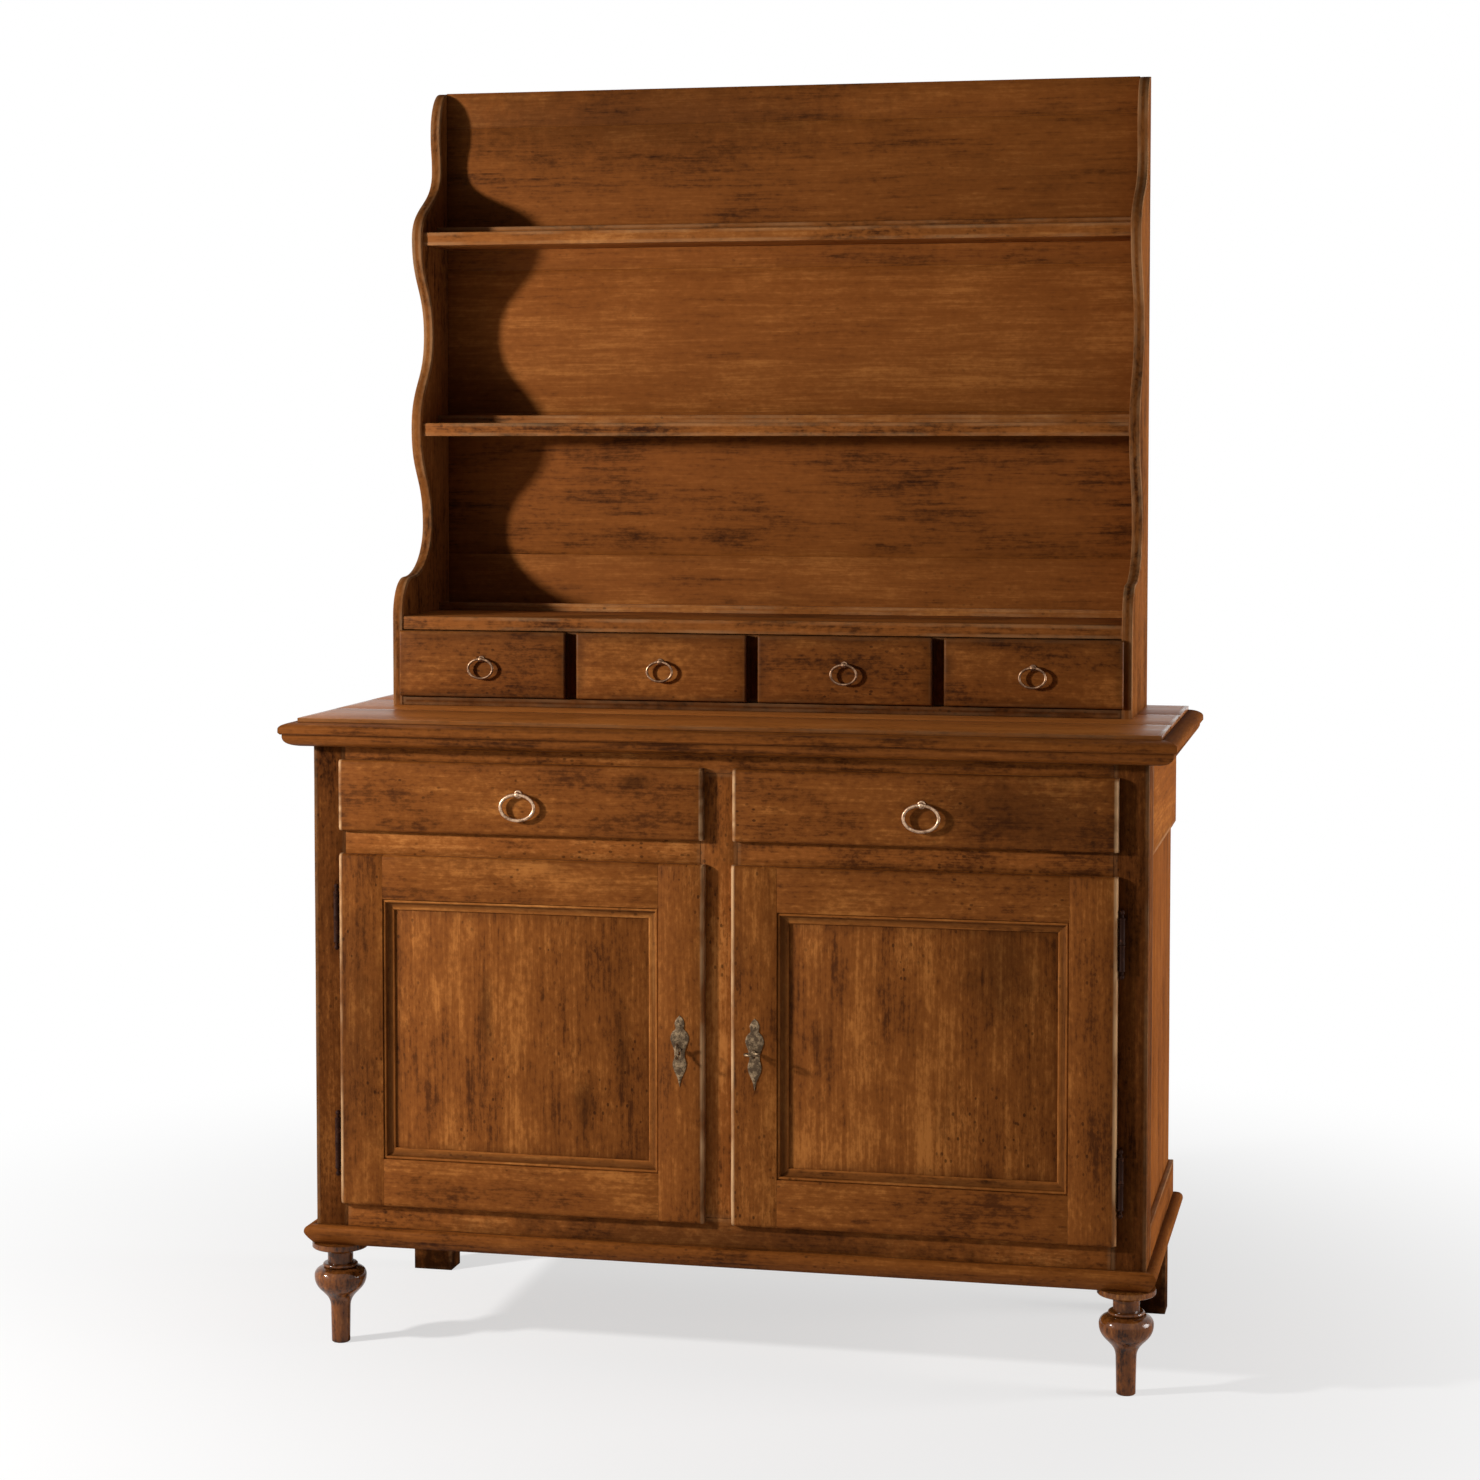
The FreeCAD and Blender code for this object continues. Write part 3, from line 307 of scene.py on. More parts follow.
# wood: waves per metre of each noise along, across and into the board
woodNoise = {"bend": (1.3, 5, 5), "broad": (1.8, 26, 26), "fine": (7.0, 150, 150), "fibre": (30, 800, 800),
             "mottle": (80, 140, 140), "clouds": (6.0, 12.0, 12.0), "crowd": (6, 10, 10),
             "ticks": (100, 320, 320), "pores": (26, 190, 190), "specks": (80, 115, 115),
             "stains": (4.5, 12, 12), "patchy": (9, 22, 22)}
# how far each one moves the shade between dark and light
woodGain = {"broad": 0.9, "fine": 1.2, "clouds": 1.8, "mottle": 1.35, "fibre": 0.35, "tone": 0.10}
# how much of a darker colour each one lays over the wood
woodCover = {"pores": 0.45, "marks": 0.42, "pricks": 0.65, "stains": 0.4, "grime": 0.62, "endGrain": 0.4}
# metres from an arris over which each one comes in
woodEdge = {"grime": (0.024, 0.001), "rub": (0.0075, 0.0035), "endGrain": (0.0014, 0.0006)}
deepShare, prickColour = (0.55, 0.50, 0.45, 1), (0.014, 0.006, 0.002, 1)


# streaks along the grain, clouds, short dark flecks, specks, grime and painted shade towards the arrises and
# in hollows, and rubbed edges that are worn and also carry a painted highlight
def buildAgedWood():
    colour = (0.2, 0.07, 0.015, 1)
    inputs = [("Grain", "Vector", None), ("Low", "Vector", (1, 1, 1)), ("High", "Vector", (1, 1, 1))]
    inputs += [(key, "Float", 0.0) for key in ("Tone", "Dirt_and_shade")]
    inputs += [(key, "Color", colour) for key in ("Dark", "Mid", "Light", "Rubbed")]
    inputs += [(key, "Float", 1.0) for key in ("Streaks", "Flecks", "Clouds", "Grime", "Rub")]
    tree, feed, out = newGroup("agedWood", inputs + [("Roughness", "Float", 0.4)], surfaceOutputs)
    grain = feed["Grain"]

    def waves(key, place, detail=2.0, rough=0.5):
        return noise(tree, place, woodNoise[key], detail, rough).outputs[0]

    def centred(value, gain):
        return times(tree, maths(tree, "SUBTRACT", value, 0.5), gain)

    bend = noise(tree, grain, woodNoise["bend"]).outputs[1]
    bend = vectors(tree, "SUBTRACT", bend, (0.5, 0.5, 0.5))
    warped = vectors(tree, "ADD", grain, vectors(tree, "MULTIPLY", bend, (0.0, 0.02, 0.02)))
    broad, fine = waves("broad", warped, 3, 0.55), waves("fine", warped, 4, 0.6)
    fibre, mottle = waves("fibre", warped), waves("mottle", grain, 4, 0.65)
    clouds = waves("clouds", grain, 4, 0.6)
    streaks = plus(tree, centred(broad, woodGain["broad"]), centred(fine, woodGain["fine"]))
    shade = maths(tree, "MULTIPLY_ADD", streaks, feed["Streaks"], 0.5)
    patches = plus(tree, centred(clouds, woodGain["clouds"]), centred(mottle, woodGain["mottle"]))
    shade = maths(tree, "MULTIPLY_ADD", patches, feed["Clouds"], shade)
    shade = plus(tree, shade, centred(fibre, woodGain["fibre"]))
    shade = maths(tree, "MULTIPLY_ADD", feed["Tone"], woodGain["tone"], shade)
    colour = blend(tree, remap(tree, shade, 0.02, 0.52), feed["Dark"], feed["Mid"])
    colour = blend(tree, remap(tree, shade, 0.48, 1.05), colour, feed["Light"])
    # short flecks along the grain and round specks, both thicker in some places than in others
    crowd = remap(tree, waves("crowd", grain), 0.44, 0.66)
    ticks = remap(tree, waves("ticks", warped, 1), 0.58, 0.66)
    pores = remap(tree, waves("pores", warped), 0.60, 0.74)
    cells = vectors(tree, "MULTIPLY", grain, woodNoise["specks"])
    cell = put(tree, "ShaderNodeTexVoronoi", {"Vector": cells, "Scale": 1.0})
    lot = put(tree, "ShaderNodeSeparateColor", {0: cell.outputs["Color"]}).outputs[0]
    chosen = times(tree, remap(tree, lot, 0.62, 0.70), crowd)
    specks = times(tree, chosen, remap(tree, cell.outputs["Distance"], 0.28, 0.18))
    marks = maths(tree, "MAXIMUM", times(tree, ticks, crowd), times(tree, pores, woodCover["pores"]))
    marks = times(tree, maths(tree, "MAXIMUM", marks, specks), feed["Flecks"], clamp=True)
    deepest = blend(tree, 1.0, feed["Dark"], deepShare, "MULTIPLY")
    colour = blend(tree, times(tree, marks, woodCover["marks"]), colour, deepest)
    pricks = times(tree, specks, times(tree, feed["Flecks"], woodCover["pricks"]))
    colour = blend(tree, pricks, colour, prickColour)
    # slow dark patches where the stain went in deeper
    stains = remap(tree, waves("stains", grain, 4, 0.65), 0.55, 0.76)
    stains = times(tree, stains, times(tree, feed["Clouds"], woodCover["stains"]))
    colour = blend(tree, stains, colour, deepest)
    # distance to the nearest arris is the second smallest of the distances to the board's faces
    nearest = vectors(tree, "MINIMUM", feed["Low"], feed["High"])
    gaps = put(tree, "ShaderNodeSeparateXYZ", {0: nearest}).outputs
    least, most = (maths(tree, word, gaps[0], gaps[1]) for word in ("MINIMUM", "MAXIMUM"))
    arris = maths(tree, "MAXIMUM", least, maths(tree, "MINIMUM", most, gaps[2]))
    patchy = waves("patchy", grain, 3, 0.6)
    # grime and painted shade: darker towards the arrises, and darker in hollows, quirks, undersides and joins
    # where the pieces' point values ask for it
    grime = times(tree, remap(tree, arris, *woodEdge["grime"]), remap(tree, patchy, 0.25, 0.7, 0.35, 1.0))
    grime = times(tree, grime, feed["Grime"], clamp=True)
    dirt_and_shade = times(tree, feed["Dirt_and_shade"], remap(tree, patchy, 0.2, 0.6, 0.6, 1.0))
    grime = times(tree, maths(tree, "MAXIMUM", grime, dirt_and_shade), woodCover["grime"])
    colour = blend(tree, grime, colour, deepest)
    # rubbed edges: real wear together with a painted highlight, a lighter colour along the rounded arrises
    edged = remap(tree, arris, *woodEdge["rub"])
    rub = times(tree, edged, remap(tree, patchy, 0.36, 0.62, 0.15, 1.0))
    colour = blend(tree, times(tree, rub, feed["Rub"], clamp=True), colour, feed["Rubbed"])
    endGrain = times(tree, remap(tree, gaps[0], *woodEdge["endGrain"]), woodCover["endGrain"])
    colour = blend(tree, endGrain, colour, deepest)
    rough = plus(tree, feed["Roughness"], times(tree, marks, 0.16))
    rough = plus(tree, rough, centred(fine, 0.22))
    rough = maths(tree, "SUBTRACT", rough, times(tree, edged, 0.18), clamp=True)
    height = plus(tree, centred(fibre, 0.35), centred(fine, 0.5))
    height = maths(tree, "SUBTRACT", height, times(tree, marks, 0.9))
    deliver(tree, out, Color=colour, Roughness=rough, Height=height)
    return tree


# one dark mark at a given place: distance from its centre over its radii, with a ragged rim
def buildPlacedMark():
    inputs = [("Centre", "Vector", (0, 0, 0)), ("Radii", "Vector", (1, 1, 1)), ("Strength", "Float", 0.5)]
    tree, feed, out = newGroup("placedMark", inputs, [("Mask", "Float")])
    place = objectPlace(tree)
    away = vectors(tree, "DIVIDE", vectors(tree, "SUBTRACT", place, feed["Centre"]), feed["Radii"])
    rim = noise(tree, place, (45, 45, 45), 4, 0.65).outputs[0]
    ragged = maths(tree, "MULTIPLY_ADD", rim, 1.2, -0.6)
    mask = remap(tree, plus(tree, lengthOf(tree, away), ragged), 1.0, 0.15)
    deliver(tree, out, Mask=times(tree, mask, feed["Strength"]))
    return tree


# metal: worn and dark areas from two noises, and a slightly beaten face
def buildRubbedMetal():
    colour = (0.5, 0.4, 0.3, 1)
    inputs = [("Worn", "Color", colour), ("Dull", "Color", colour), ("Wear", "Float", 0.5),
              ("Roughness", "Float", 0.35)]
    tree, feed, out = newGroup("rubbedMetal", inputs, surfaceOutputs)
    place = objectPlace(tree)
    slow = noise(tree, place, (120, 120, 120), 4, 0.65).outputs[0]
    quick = noise(tree, place, (700, 700, 700), 3).outputs[0]
    both = plus(tree, slow, maths(tree, "MULTIPLY_ADD", quick, 0.35, -0.175))
    worn = remap(tree, plus(tree, both, maths(tree, "SUBTRACT", feed["Wear"], 0.5)), 0.36, 0.66)
    rough = maths(tree, "MULTIPLY_ADD", worn, -0.16, plus(tree, feed["Roughness"], 0.12))
    height = plus(tree, times(tree, slow, 0.7), times(tree, quick, 0.3))
    deliver(tree, out, Color=blend(tree, worn, feed["Dull"], feed["Worn"]), Roughness=rough, Height=height)
    return tree


agedWood, placedMark, rubbedMetal = buildAgedWood(), buildPlacedMark(), buildRubbedMetal()
bumpDepth = {"wood": 0.0005, "metal": 0.0006}      # metres


def srgb(red, green, blue):
    # 0..255 screen values to linear light
    v = np.array((red, green, blue)) / 255.0
    linear = np.where(v <= 0.04045, v / 12.92, ((v + 0.055) / 1.055) ** 2.4)
    return (*(float(x) for x in linear), 1.0)


def newMaterial(name):
    material = bpy.data.materials.new(name)
    material.use_nodes = True
    material.node_tree.nodes.clear()
    return material, material.node_tree


def finishMaterial(tree, group, colour, bump, depth, **sockets):
    # the shader itself, with its plain numbers on its own sockets
    height, rough = group.outputs["Height"], group.outputs["Roughness"]
    raised = put(tree, "ShaderNodeBump", {"Height": height, "Strength": bump, "Distance": depth})
    feeds = {"Base Color": colour, "Roughness": rough, "Normal": raised.outputs[0]}
    shader = put(tree, "ShaderNodeBsdfPrincipled", {**feeds, **sockets})
    put(tree, "ShaderNodeOutputMaterial", {"Surface": shader.outputs[0]})


def woodMaterial(name, look, fromObject=False):
    # look: the finish's colours and amounts; pieces without grain attributes read Object coordinates
    material, tree = newMaterial(name)
    feeds = {key.capitalize(): srgb(*look[key]) for key in ("dark", "mid", "light", "rubbed")}
    for key in ("streaks", "flecks", "clouds", "grime", "rub", "roughness"):
        feeds[key.capitalize()] = look[key]
    if fromObject:
        feeds["Grain"] = objectPlace(tree)
    else:
        for key in ("grain", "low", "high", "tone", "dirt_and_shade"):
            output = "Fac" if key in ("tone", "dirt_and_shade") else "Vector"
            feeds[key.capitalize()] = put(tree, "ShaderNodeAttribute", attribute_name=key).outputs[output]
    group = put(tree, "ShaderNodeGroup", feeds, node_tree=agedWood)
    colour = group.outputs["Color"]
    markColour = (*(c * 0.3 for c in srgb(*look["dark"])[:3]), 1.0)
    for centre, radii, strength in look["marks"]:
        place = {"Centre": [c * mm for c in centre], "Radii": [c * mm for c in radii], "Strength": strength}
        mark = put(tree, "ShaderNodeGroup", place, node_tree=placedMark)
        colour = blend(tree, mark.outputs["Mask"], colour, markColour)
    finishMaterial(tree, group, colour, look["bump"], bumpDepth["wood"],
                   **{"Specular IOR Level": look["gloss"], "Specular Tint": srgb(*look["tint"])})
    return material


def metalMaterial(name, look):
    material, tree = newMaterial(name)
    feeds = {"Worn": srgb(*look["worn"]), "Dull": srgb(*look["dull"]), "Wear": look["wear"],
             "Roughness": look["roughness"]}
    group = put(tree, "ShaderNodeGroup", feeds, node_tree=rubbedMetal)
    finishMaterial(tree, group, group.outputs["Color"], look["bump"], bumpDepth["metal"],
                   **{"Metallic": look["metallic"], "Specular IOR Level": look["gloss"]})
    return material


# finishes: colours are screen values, and marks are (centre, radii, strength) in millimetres
# the rubbed colour of each finish is edge wear and a painted highlight on the rounded arrises
woodLooks = {"front": {
    "dark": (76, 39, 14), "mid": (124, 69, 26), "light": (166, 102, 46), "rubbed": (208, 164, 118),
    "streaks": 0.7, "flecks": 0.8, "clouds": 0.8, "grime": 0.6, "rub": 0.75, "roughness": 0.52, "bump": 0.3,
    "gloss": 0.04, "tint": (255, 255, 255),
    # the broad mark on the right half of the right wide drawer is painted shade, darker towards the right
    "marks": [((-130, -241, 903), (38, 30, 17), 0.6), ((470, -241, 872), (230, 30, 95), 0.5),
              ((-590, -241, 480), (80, 30, 340), 0.35)]}}


def addLook(name, base, **changes):
    woodLooks[name] = {**woodLooks[base], **changes}


addLook("panel", "front", streaks=0.9, grime=0.8, rub=0.0,
        marks=[((-370, -229, 540), (16, 20, 95), 0.5), ((-211, -229, 398), (26, 20, 70), 0.5),
               # the wide mark on the right door's panel is painted shade
               ((-150, -229, 480), (18, 20, 90), 0.4), ((430, -229, 640), (80, 20, 130), 0.45)])
addLook("rail", "front", mid=(138, 78, 31), light=(182, 114, 55), rub=0.08,
        marks=[((0, -228, 195), (720, 30, 60), 0.6)])
addLook("post", "front", dark=(44, 20, 6), mid=(90, 48, 18), light=(128, 75, 32), rub=0.1, roughness=0.7,
        gloss=0.01, marks=[])
addLook("side", "front", dark=(72, 36, 12), mid=(126, 71, 30), light=(164, 103, 50), clouds=0.4, flecks=0.4,
        roughness=0.75, gloss=0.01, rub=0.2, marks=[])
# rear legs: the darker dark colour and the deep marks low on both legs are painted shade under the carcass
addLook("leg", "side", dark=(54, 26, 8), marks=[((x, 247, 20), (110, 110, 190), 0.95) for x in (-608, 608)])
# worktop top: lighter than the fronts, partly its own colour and partly a painted reflection of the polished
# top
addLook("top", "front", mid=(174, 102, 44), light=(212, 142, 74), streaks=0.45, clouds=0.4, flecks=0.4,
        grime=0.2, rub=0.1, roughness=0.34, gloss=0.05, tint=(255, 226, 196), marks=[])
addLook("mould", "front", dark=(58, 28, 8), flecks=0.6, clouds=0.5, rub=0.0, roughness=0.42, marks=[])
addLook("doorMould", "mould", mid=(142, 83, 35), light=(190, 124, 62))
addLook("sideMould", "side", dark=(62, 31, 10), mid=(112, 63, 26), light=(148, 91, 42))
# back boards: the broad dark mark at the upper left is painted shade
addLook("back", "front", dark=(50, 24, 8), mid=(128, 71, 27), light=(170, 105, 49), streaks=0.6, clouds=0.4,
        flecks=0.25, grime=0.25, rub=0.0, roughness=0.6, marks=[((-250, 257, 1960), (560, 60, 120), 0.42)])
addLook("rack", "front", dark=(54, 26, 9), mid=(144, 83, 35), light=(188, 121, 61), clouds=0.6, flecks=0.6,
        streaks=0.6, grime=0.35, rub=0.18, marks=[])
addLook("rackSide", "rack", mid=(124, 72, 32), light=(164, 104, 52), roughness=0.75, gloss=0.01, rub=0.22)
addLook("small", "rack", mid=(118, 66, 25), light=(160, 98, 44), clouds=0.75, flecks=0.8, grime=0.95,
        rub=0.04)
addLook("foot", "front", dark=(40, 18, 6), mid=(116, 64, 24), light=(176, 112, 52), flecks=0.4, clouds=0.9,
        roughness=0.1, gloss=0.32, marks=[])
addLook("inside", "front", dark=(96, 62, 30), mid=(152, 108, 62), light=(186, 144, 94), flecks=0.4, grime=0.5,
        rub=0.2, roughness=0.6, gloss=0.06, clouds=0.5, marks=[])
metalLooks = {
    "paleBrass": {"worn": (206, 170, 138), "dull": (124, 92, 68), "wear": 0.55, "roughness": 0.34,
                  "metallic": 0.9, "bump": 0.15, "gloss": 0.5},
    "dullBrass": {"worn": (180, 142, 110), "dull": (102, 74, 54), "wear": 0.45, "roughness": 0.38,
                  "metallic": 0.9, "bump": 0.15, "gloss": 0.5},
    "plateMetal": {"worn": (160, 134, 102), "dull": (78, 61, 44), "wear": 0.45, "roughness": 0.40,
                   "metallic": 0.85, "bump": 0.15, "gloss": 0.5},
    "darkIron": {"worn": (84, 48, 30), "dull": (40, 20, 12), "wear": 0.35, "roughness": 0.5,
                 "metallic": 0.0, "bump": 0.2, "gloss": 0.06}}
woods = {name: woodMaterial(name + "Wood", look) for name, look in woodLooks.items()}
insideBoards = woodMaterial("insideBoards", woodLooks["inside"], fromObject=True)
metals = {name: metalMaterial(name, look) for name, look in metalLooks.items()}
print("finishes made")


# carcass: posts and rails are given for the right side
carcass = {"halfWidth": 650.0, "frontY": -228.5, "backY": 271.5, "bottom": 161.0, "top": 967.0,
           "railBack": -203.5, "postInner": 598.0, "postBack": -158.5, "leg": (575.0, 642.0),
           "legFront": 223.5, "topRailLow": 919.0, "baseRailTop": 236.0, "stileHalf": 28.5,
           "midRail": (772.0, 824.0), "sideInner": 628.0, "sideTopLow": 803.0, "sideBaseTop": 245.0,
           "backPlanks": 6}
sidePanel = {"x": (632.0, 642.0), "y": (-165.5, 230.5), "z": (238.0, 810.0)}
boltPocket = {"front": -217.4, "low": 500.0, "top": 514.0, "coreHalf": 18.0}     # hollows that take the bolts
worktop = {"noseRun": 24.0, "quirk": 6.0, "tipDrop": 16.0, "underStep": 3.0, "overhang": 43.0, "planks": 3}
underMoulding = {"foot": 10.0, "belly": 37.0, "reach": 38.0, "lift": 2.0, "lip": 4.0}
plinth = {"foot": 3.0, "reach": 16.0, "crown": 10.0, "neck": 4.0}
runWobble = {"carcass": 0.35, "door": 0.2}


def makeRuns(name, node, profile, seed, dirt_and_shade):
    # one profile (projection, height) round the carcass: a front run and two side runs, mitred at the front
    # corners, each with its own finish
    p, z = np.asarray(profile, float).T
    wobble = runWobble["carcass"]
    half, front, back = carcass["halfWidth"] + p, carcass["frontY"] - p, np.full_like(p, carcass["backY"])
    mitres = [np.stack((side * half, front, z), 1) for side, word in sides]
    tails = [np.stack((side * half, back, z), 1) for side, word in sides]
    carcassPiece(name + "Front", node, woods["mould"], [run(mitres[0], mitres[1], 0, seed, dirt_and_shade, wobble)])
    carcassPiece(name + "Sides", node, woods["sideMould"],
                 [run(mitres[k], tails[k], 1, seed + 20 + k, dirt_and_shade, wobble) for k in (0, 1)])


def makeWorktop():
    w = worktop
    low, high = cad("worktop")
    reach = w["overhang"] - w["noseRun"]
    half, front = carcass["halfWidth"] + reach, carcass["frontY"] - reach
    joints = np.linspace(front, high[1], w["planks"] + 1)
    # darker along the front plank's top arris at the quirk and under its front edge
    quirkDark = np.array([1, 1, 0.5, 0, 0, 0, 0, 0, 0, 0, 0.3, 1])
    planks = []
    for k in range(w["planks"]):
        frontRound, dirt_and_shade = (0.8, quirkDark) if k == 0 else (0.25, 0.0)
        planks.append(board((-half, joints[k], low[2]), (half, joints[k + 1], high[2]), 0, 1000 + 17 * k,
                            (0.4, 0.4, 0.25, frontRound), (0.4, 0.4, 0.4, 0.8), wobble=0.1, dirt_and_shade=dirt_and_shade))
    tip, shelf = high[2] - w["tipDrop"], high[2] - w["quirk"]
    nose = quarter((w["overhang"], tip), (reach, shelf), 1, 12)
    under = [(reach - 0.5, low[2]), (w["overhang"] - w["underStep"], low[2]),
             (w["overhang"], low[2] + w["underStep"])]
    profile = np.concatenate((under, nose, [(reach - 0.5, shelf)]))
    dirt_and_shade = np.interp(profile[:, 0], (reach, reach + 4, reach + 9), (1.0, 0.9, 0.0))
    dirt_and_shade[:2] = 0.8
    carcassPiece("worktopPlanks", "worktop", woods["top"], planks)
    makeRuns("worktopNose", "worktop", profile, 1100, dirt_and_shade)


def makeMouldings():
    u, p = underMoulding, plinth
    low, high = (corner[2] for corner in cad("under_moulding"))
    rounding = bezier([(u["foot"], low), (u["belly"], low + u["lift"]), (u["reach"], high - u["lip"])], 9)
    profile = np.concatenate(([(0, low)], rounding, [(u["reach"], high), (0, high)]))
    dirt_and_shade = np.concatenate(([1.0, 1.0, 0.9, 0.6, 0.3], np.zeros(4), [0.1, 1.0, 1.0]))
    makeRuns("underMoulding", "under_moulding", profile, 1200, dirt_and_shade)
    low, high = (corner[2] for corner in cad("plinth_moulding"))
    widest = (p["reach"], high - p["crown"])
    belly = bezier([(p["foot"], low), (p["reach"], (low + high) / 2), widest], 9)
    crown = bezier([widest, (p["reach"], high), (p["neck"], high)], 9)[1:]
    profile = np.concatenate(([(0, low)], belly, crown, [(0, high)]))
    dirt_and_shade = np.interp(profile[:, 0], (0, 4, 7), (0.9, 0.7, 0.0))
    makeRuns("plinth", "plinth_moulding", profile, 1300, dirt_and_shade)


def makeCarcass():
    c, b = carcass, boltPocket
    half, front, low, top = c["halfWidth"], c["frontY"], c["bottom"], c["top"]
    back, postInner, postBack, stile = c["railBack"], c["postInner"], c["postBack"], c["stileHalf"]
    railLow, railTop = c["topRailLow"], c["baseRailTop"]
    legIn, legOut = c["leg"]
    posts = bothSides((postInner, front, low), (half, postBack, top), 2, 2000, (0.5, 2.2, 0.8, 0.5))
    carcassPiece("frontPosts", "front_posts", woods["post"], posts)
    legs = bothSides((legIn, c["legFront"], 0), (legOut, c["backY"], top), 2, 2100, 1.2, 1.0)
    carcassPiece("rearPosts", "rear_posts", woods["leg"], legs)
    rails = [board((-postInner, front, railLow), (postInner, back, top), 0, 2201),
             board((-postInner, front, low), (postInner, back, railTop), 0, 2219),
             board((-stile, front, railTop), (stile, b["front"], railLow), 2, 2247, (0.8, 0.8, 0.3, 0.3)),
             board((-stile, b["front"], railTop), (stile, back, b["low"]), 2, 2248, 0.3),
             board((-stile, b["front"], b["top"]), (stile, back, railLow), 2, 2249, 0.3),
             board((-b["coreHalf"], b["front"], b["low"]), (b["coreHalf"], back, b["top"]), 2, 2250, 0.3)]
    midLow, midTop = c["midRail"]
    rails += bothSides((stile, front, midLow), (postInner, back, midTop), 0, 2251, 0.8)
    carcassPiece("frontFrame", "front_frame", woods["rail"], rails)
    tops = bothSides((c["sideInner"], postBack, c["sideTopLow"]), (half, c["backY"], top), 1, 2300,
                     (2.0, 0.5, 0.5, 0.8))
    bases = bothSides((c["sideInner"], postBack, low), (half, c["backY"], c["sideBaseTop"]), 1, 2340,
                      (0.5, 0.5, 0.5, 2.0))
    carcassPiece("sideRails", "side_rails", woods["side"], tops + bases)
    corners = zip(sidePanel["x"], sidePanel["y"], sidePanel["z"])
    carcassPiece("sidePanels", "side_panels", woods["side"], bothSides(*corners, 2, 2400, 0.5))
    low, high = cad("base_back")
    joints = np.linspace(low[0], high[0], c["backPlanks"] + 1)
    planks = []
    for k in range(c["backPlanks"]):
        planks.append(board((joints[k], low[1], low[2]), (joints[k + 1], high[1], high[2]), 2, 2500 + 13 * k,
                            0.8, 0.6, 0.0))
    carcassPiece("baseBack", "base_back", woods["inside"], planks)


# radii and heights of the turned feet, and darkening as (height, amount): grime and painted shade in the
# grooves, under the collar and at the toe
foot = {"place": (619.0, -206.5, 0.0), "toe": 14.5, "ankle": (15.5, 56), "bulb": (41, 106),
        "ring": (27.5, 121, 127), "neck": (20, 141), "collar": 44, "collarLow": 152, "height": 161,
        "grime": [(0, 0.9), (6, 0.0), (112, 0.0), (119, 0.5), (121, 1.0), (124, 0.0), (127, 1.0), (130, 0.6),
                  (140, 0.3), (150, 0.8), (154, 0.1), (161, 0.5)]}


def makeFeet():
    # turned feet: straight ankle, swelling bulb, a ring, a hollow neck and a flared collar
    f = foot
    ankle, bulb = f["ankle"], f["bulb"]
    ringR, ringLow, ringHigh = f["ring"]
    neckR, neckZ = f["neck"]
    ringTurn = np.linspace(-np.pi / 2, np.pi / 2, 8)
    ringHalf = (ringHigh - ringLow) / 2
    ring = np.stack((ringR - ringHalf + ringHalf * np.cos(ringTurn),
                     ringLow + ringHalf * (1 + np.sin(ringTurn))), 1)
    profile = np.concatenate((
        [(f["toe"] - 1.5, 0), (f["toe"], 1.5)], bezier([(f["toe"], 2), ankle], 6)[1:],
        wave(ankle, bulb, 18)[1:], bezier([bulb, (bulb[0], ringLow), (neckR, ringLow)], 14)[1:],
        ring, [(neckR, ringHigh)],
        bezier([(neckR, neckZ), (neckR, f["collarLow"]), (f["collar"] - 1.5, f["collarLow"])], 10),
        [(f["collar"], f["collarLow"] + 1.5), (f["collar"], f["height"])]))
    dirt_and_shade = np.interp(profile[:, 1], *zip(*f["grime"]))
    feet = [mirrored(lathe(f["place"], 2, profile, 2600 + seedStep * side, 64, dirt_and_shade), side)
            for side, word in sides]
    carcassPiece("frontFeet", "front_feet", woods["foot"], feet)


makeWorktop()
makeMouldings()
makeCarcass()
makeFeet()
print("carcass made")


# fronts with a rounded lip; metres added to the edge distances of a side that shows no edge wear: the first
# keeps the grime and painted shade near the arris, the second takes them away as well
keepGrimeAndShade, dropGrimeAndShade = 0.008, 1.0


def lippedFront(low, high, along, seed, corners, lipRound, ends, plainRound=0.6, joined=()):
    # a board whose marked long corners and front end edges are rounded over; joined lists the sides
    # that show no edge wear
    rounds = [lipRound if k in corners else plainRound for k in range(4)]
    patch = board(low, high, along, seed, rounds, ends, wobble=0.35, step=45.0)
    for key, column, added in joined:
        patch[key][:, column] += added
    return patch


def bothEnds(column, added):
    return (("low", column, added), ("high", column, added))


def unworn(patch):
    # the same board with its arrises moved out of reach of the edge wear
    return {**patch, "low": patch["low"] + keepGrimeAndShade, "high": patch["high"] + keepGrimeAndShade}


def boxBoards(node, d, seed):
    # a drawer's box: two sides, a back and a bottom let into them
    low, high = cad(node)
    left, right = low[0] + d["side"], high[0] - d["side"]
    back, floor, groove = high[1] - d["back"], low[2] + d["rise"], d["groove"]
    return [board(low, (left, high[1], high[2]), 1, seed, 0.8),
            board((right, low[1], low[2]), high, 1, seed + 11, 0.8),
            board((left, back, low[2]), (right, high[1], high[2]), 0, seed + 23, 0.8),
            board((left - groove, low[1], floor), (right + groove, back + groove, floor + d["bottom"]), 0,
                  seed + 37, 0.3)]


# the eye's wall and the play in it, and the stem and rim as shares of the eye
pull = {"wall": 2.0, "play": 0.6, "stem": 0.55, "rim": 1.35}


